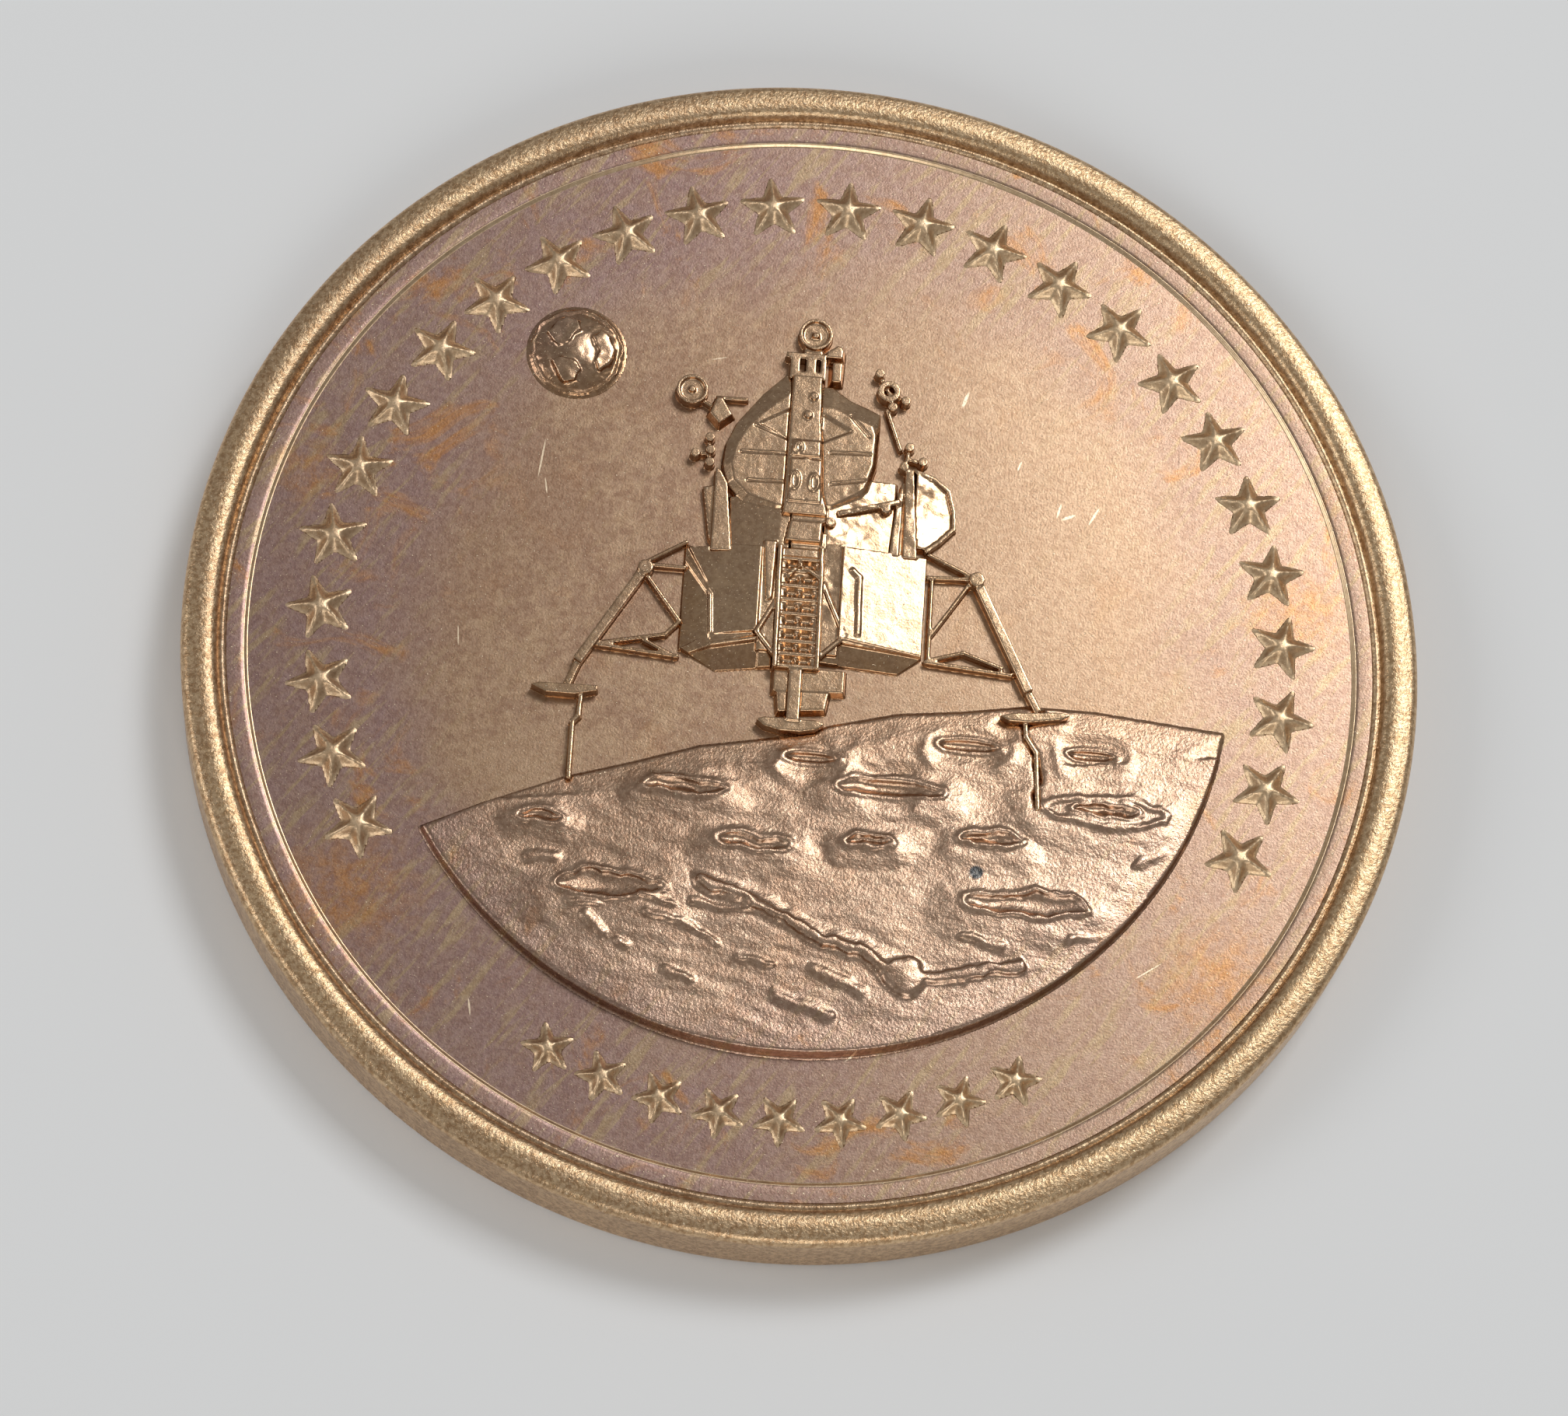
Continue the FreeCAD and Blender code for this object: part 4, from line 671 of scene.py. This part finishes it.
# The ground. A shelf of moon under the lander, with the slit bowls and broad banks of craters,
# a winding ridge and small folds, and a rough face of a little rosier metal. Its points just
# over the field, away from the right probe, mark its edge.
ground_nodes = ["moon_ground", "crater_rims", "ground_ridge"]
ground_cell = 0.06
ground = flowed("lunar_ground", ground_nodes, ground_cell, 5)
probe_low, probe_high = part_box("probe_right")
probe_reach = 1.2
probe_span = [(probe_low.x / MM, probe_low.y / MM, probe_high.x / MM, probe_high.y / MM,
               probe_reach)]
shore_low = 0.02
shore_high = 0.10
shore = [point.co.copy() for point in ground.data.vertices
         if shore_low < point.co.z - field_height < shore_high
         and not near(point.co, probe_span)]
shore_tree = KDTree(len(shore))
for index, point in enumerate(shore):
    shore_tree.insert((point.x, point.y, 0.0), index)
shore_tree.balance()
shore_wide = 0.15
shore_rise = 0.7
corner_x = -10.4
corner_y = -6.4
chord_slope = 0.147
chord_clear = 0.35
edge_high = 0.15


def inland(point):
    """0 along the ground's edge, rising to 1 a short way in from it."""
    if not raised(point):
        return 0.0
    away = shore_tree.find((point.x, point.y, 0.0))[2]
    return min(1.0, max(0.0, (away - shore_wide) / shore_rise))


def brink(point):
    """1 along the ground's upper edge, clear of the chord between its corners. There it comes
    down almost to the field."""
    if point.y < corner_y + chord_slope * (point.x - corner_x) + chord_clear:
        return 0.0
    return min(1.0, max(0.0, (point.z - field_height) / edge_high)) * (1.0 - inland(point))


crater_places = (
    (-3.4, -5.0, 1.3, 0.25), (0.4, -3.7, 0.9, 0.2), (2.9, -4.5, 1.7, 0.3), (5.2, -2.9, 1.0, 0.22),
    (9.5, -4.7, 1.9, 0.45), (9.0, -2.9, 0.8, 0.2), (6.0, -5.9, 1.0, 0.25), (-7.7, -6.3, 0.7, 0.2),
    (-1.2, -6.6, 1.2, 0.26), (2.3, -6.3, 0.8, 0.2), (7.2, -7.9, 1.9, 0.4), (-5.4, -8.3, 1.6, 0.45))
banks = [(x - long, y - deep, x + long, y - deep, 3.0 * deep + 0.15)
         for x, y, long, deep in crater_places]
banks += [(3.6, -10.5, 3.6, -10.5, 0.8), (-2.6, -8.0, -1.2, -8.4, 0.5),
          (-1.2, -8.4, 0.6, -9.3, 0.5), (0.6, -9.3, 2.2, -9.7, 0.5), (2.2, -9.7, 3.6, -10.4, 0.5)]
brow = [(8.2, -5.4, 8.4, -6.4, 4.4), (-3.0, -7.4, 7.0, -6.8, 4.8)]
folds = (
    (-4.2, -9.1, -3.1, -9.4, 0.20), (-3.1, -9.4, -2.2, -9.9, 0.17),
    (-6.1, -9.4, -5.5, -9.8, 0.24), (-4.9, -10.1, -4.7, -10.2, 0.20),
    (-2.9, -8.7, -1.2, -8.8, 0.18), (-1.5, -10.2, -0.4, -10.5, 0.20),
    (-6.6, -8.9, -5.8, -9.0, 0.16), (-4.4, -8.6, -3.5, -8.75, 0.15),
    (0.9, -10.6, 2.4, -11.1, 0.25), (8.6, -8.9, 9.9, -8.7, 0.18),
    (-0.2, -11.4, 1.4, -11.9, 0.3), (-7.9, -7.6, -7.1, -7.5, 0.22),
    (5.3, -9.1, 6.4, -9.3, 0.22), (10.6, -6.4, 11.3, -5.9, 0.25),
    (-3.6, -10.9, -2.8, -11.1, 0.18))
land_high = 0.06
for rise, spans in (("banks", banks), ("brow", brow), ("folds", folds)):
    lifted = weighed(ground, rise, lambda point: inland(point) * near(point, spans))
    swollen(ground, lifted, land_high)
brink_deep = 0.07
swollen(ground, weighed(ground, "brink", brink), -brink_deep)
land = weighed(ground, "land", inland)
for way in ("X", "Y"):
    rippled(ground, land, 0.40, 0.8, way=way)
rippled(ground, land, 0.060, 1.2, 3.0)
rippled(ground, land, 0.024, 0.3, 2.2)
settled(ground, ground_nodes, ground_bronze)

# The far globe. A slightly domed disc near the upper left of the field, with a raised edge
# and with its lands standing on it.
globe_nodes = ["distant_globe", "globe_lands"]
globe_cell = 0.04
globe = flowed("far_globe", globe_nodes, globe_cell, 5)
globe_low, globe_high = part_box("distant_globe")
globe_middle = (globe_low + globe_high) / 2 / MM
edge_radius = 1.42
edge_wide = 0.12
dome_radius = 1.4


def on_globe_edge(point):
    """1 on a ring just inside the globe's edge, falling to 0 on both sides."""
    away = math.hypot(point.x - globe_middle.x, point.y - globe_middle.y)
    return raised(point) * max(0.0, 1.0 - abs(away - edge_radius) / edge_wide)


def on_globe(point):
    """1 in the middle of the globe, falling to 0 at its edge."""
    away = math.hypot(point.x - globe_middle.x, point.y - globe_middle.y)
    return raised(point) * max(0.0, 1.0 - (away / dome_radius) ** 2)


swollen(globe, weighed(globe, "edge", on_globe_edge), 0.06)
swollen(globe, weighed(globe, "dome", on_globe), 0.10)
for way in ("X", "Y"):
    rippled(globe, weighed(globe, "raised", raised), 0.20, 0.4, way=way)
rippled(globe, weighed(globe, "raised", raised), 0.05, 0.7)
settled(globe, globe_nodes, relief_bronze)

# The stars. Rows of raised five-pointed stars, rubbed bright, follow the border above and
# below. Each row is one piece.
star_cell = 0.07
for row_name, row_node in (("legend_stars", "legend_star_arc"), ("date_stars", "date_star_row")):
    settled(flowed(row_name, [row_node], star_cell, 2), [row_node], star_bronze)

# The reverse. Behind, a rim that the medal rests on and a fine line run round a plain field
# with a raised laurel wreath.
wreath_cell = 0.07
wreath = flowed("laurel_wreath", ["reverse_wreath"], wreath_cell, 2, reverse_field, -1)
settled(wreath, ["reverse_wreath"], star_bronze, reverse_field, -1)
foot = [(medal_radius, reverse_field)]
for step in range(10):
    turn = math.radians(step * 10)
    foot.append((medal_radius - corner_round + corner_round * math.cos(turn),
                 corner_round - corner_round * math.sin(turn)))
foot += [(18.05, 0.0), (17.97, 0.03), (17.92, 0.1), (rim_inside, reverse_field)]
reverse_foot = turned("reverse_foot", foot)
back_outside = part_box("reverse_border_line")[1].x / MM
back_section = ((0.0, 0.0), (0.01, 0.17), (0.05, 0.22), (0.11, 0.22), (0.15, 0.17), (0.16, 0.0))
back_line = turned("back_line", [
    (back_outside - inward, reverse_field - down) for inward, down in back_section])
for piece, node in ((reverse_foot, "reverse_rim"), (back_line, "reverse_border_line")):
    piece.data.materials.append(rim_bronze)
    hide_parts(node)
    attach(piece, "root")
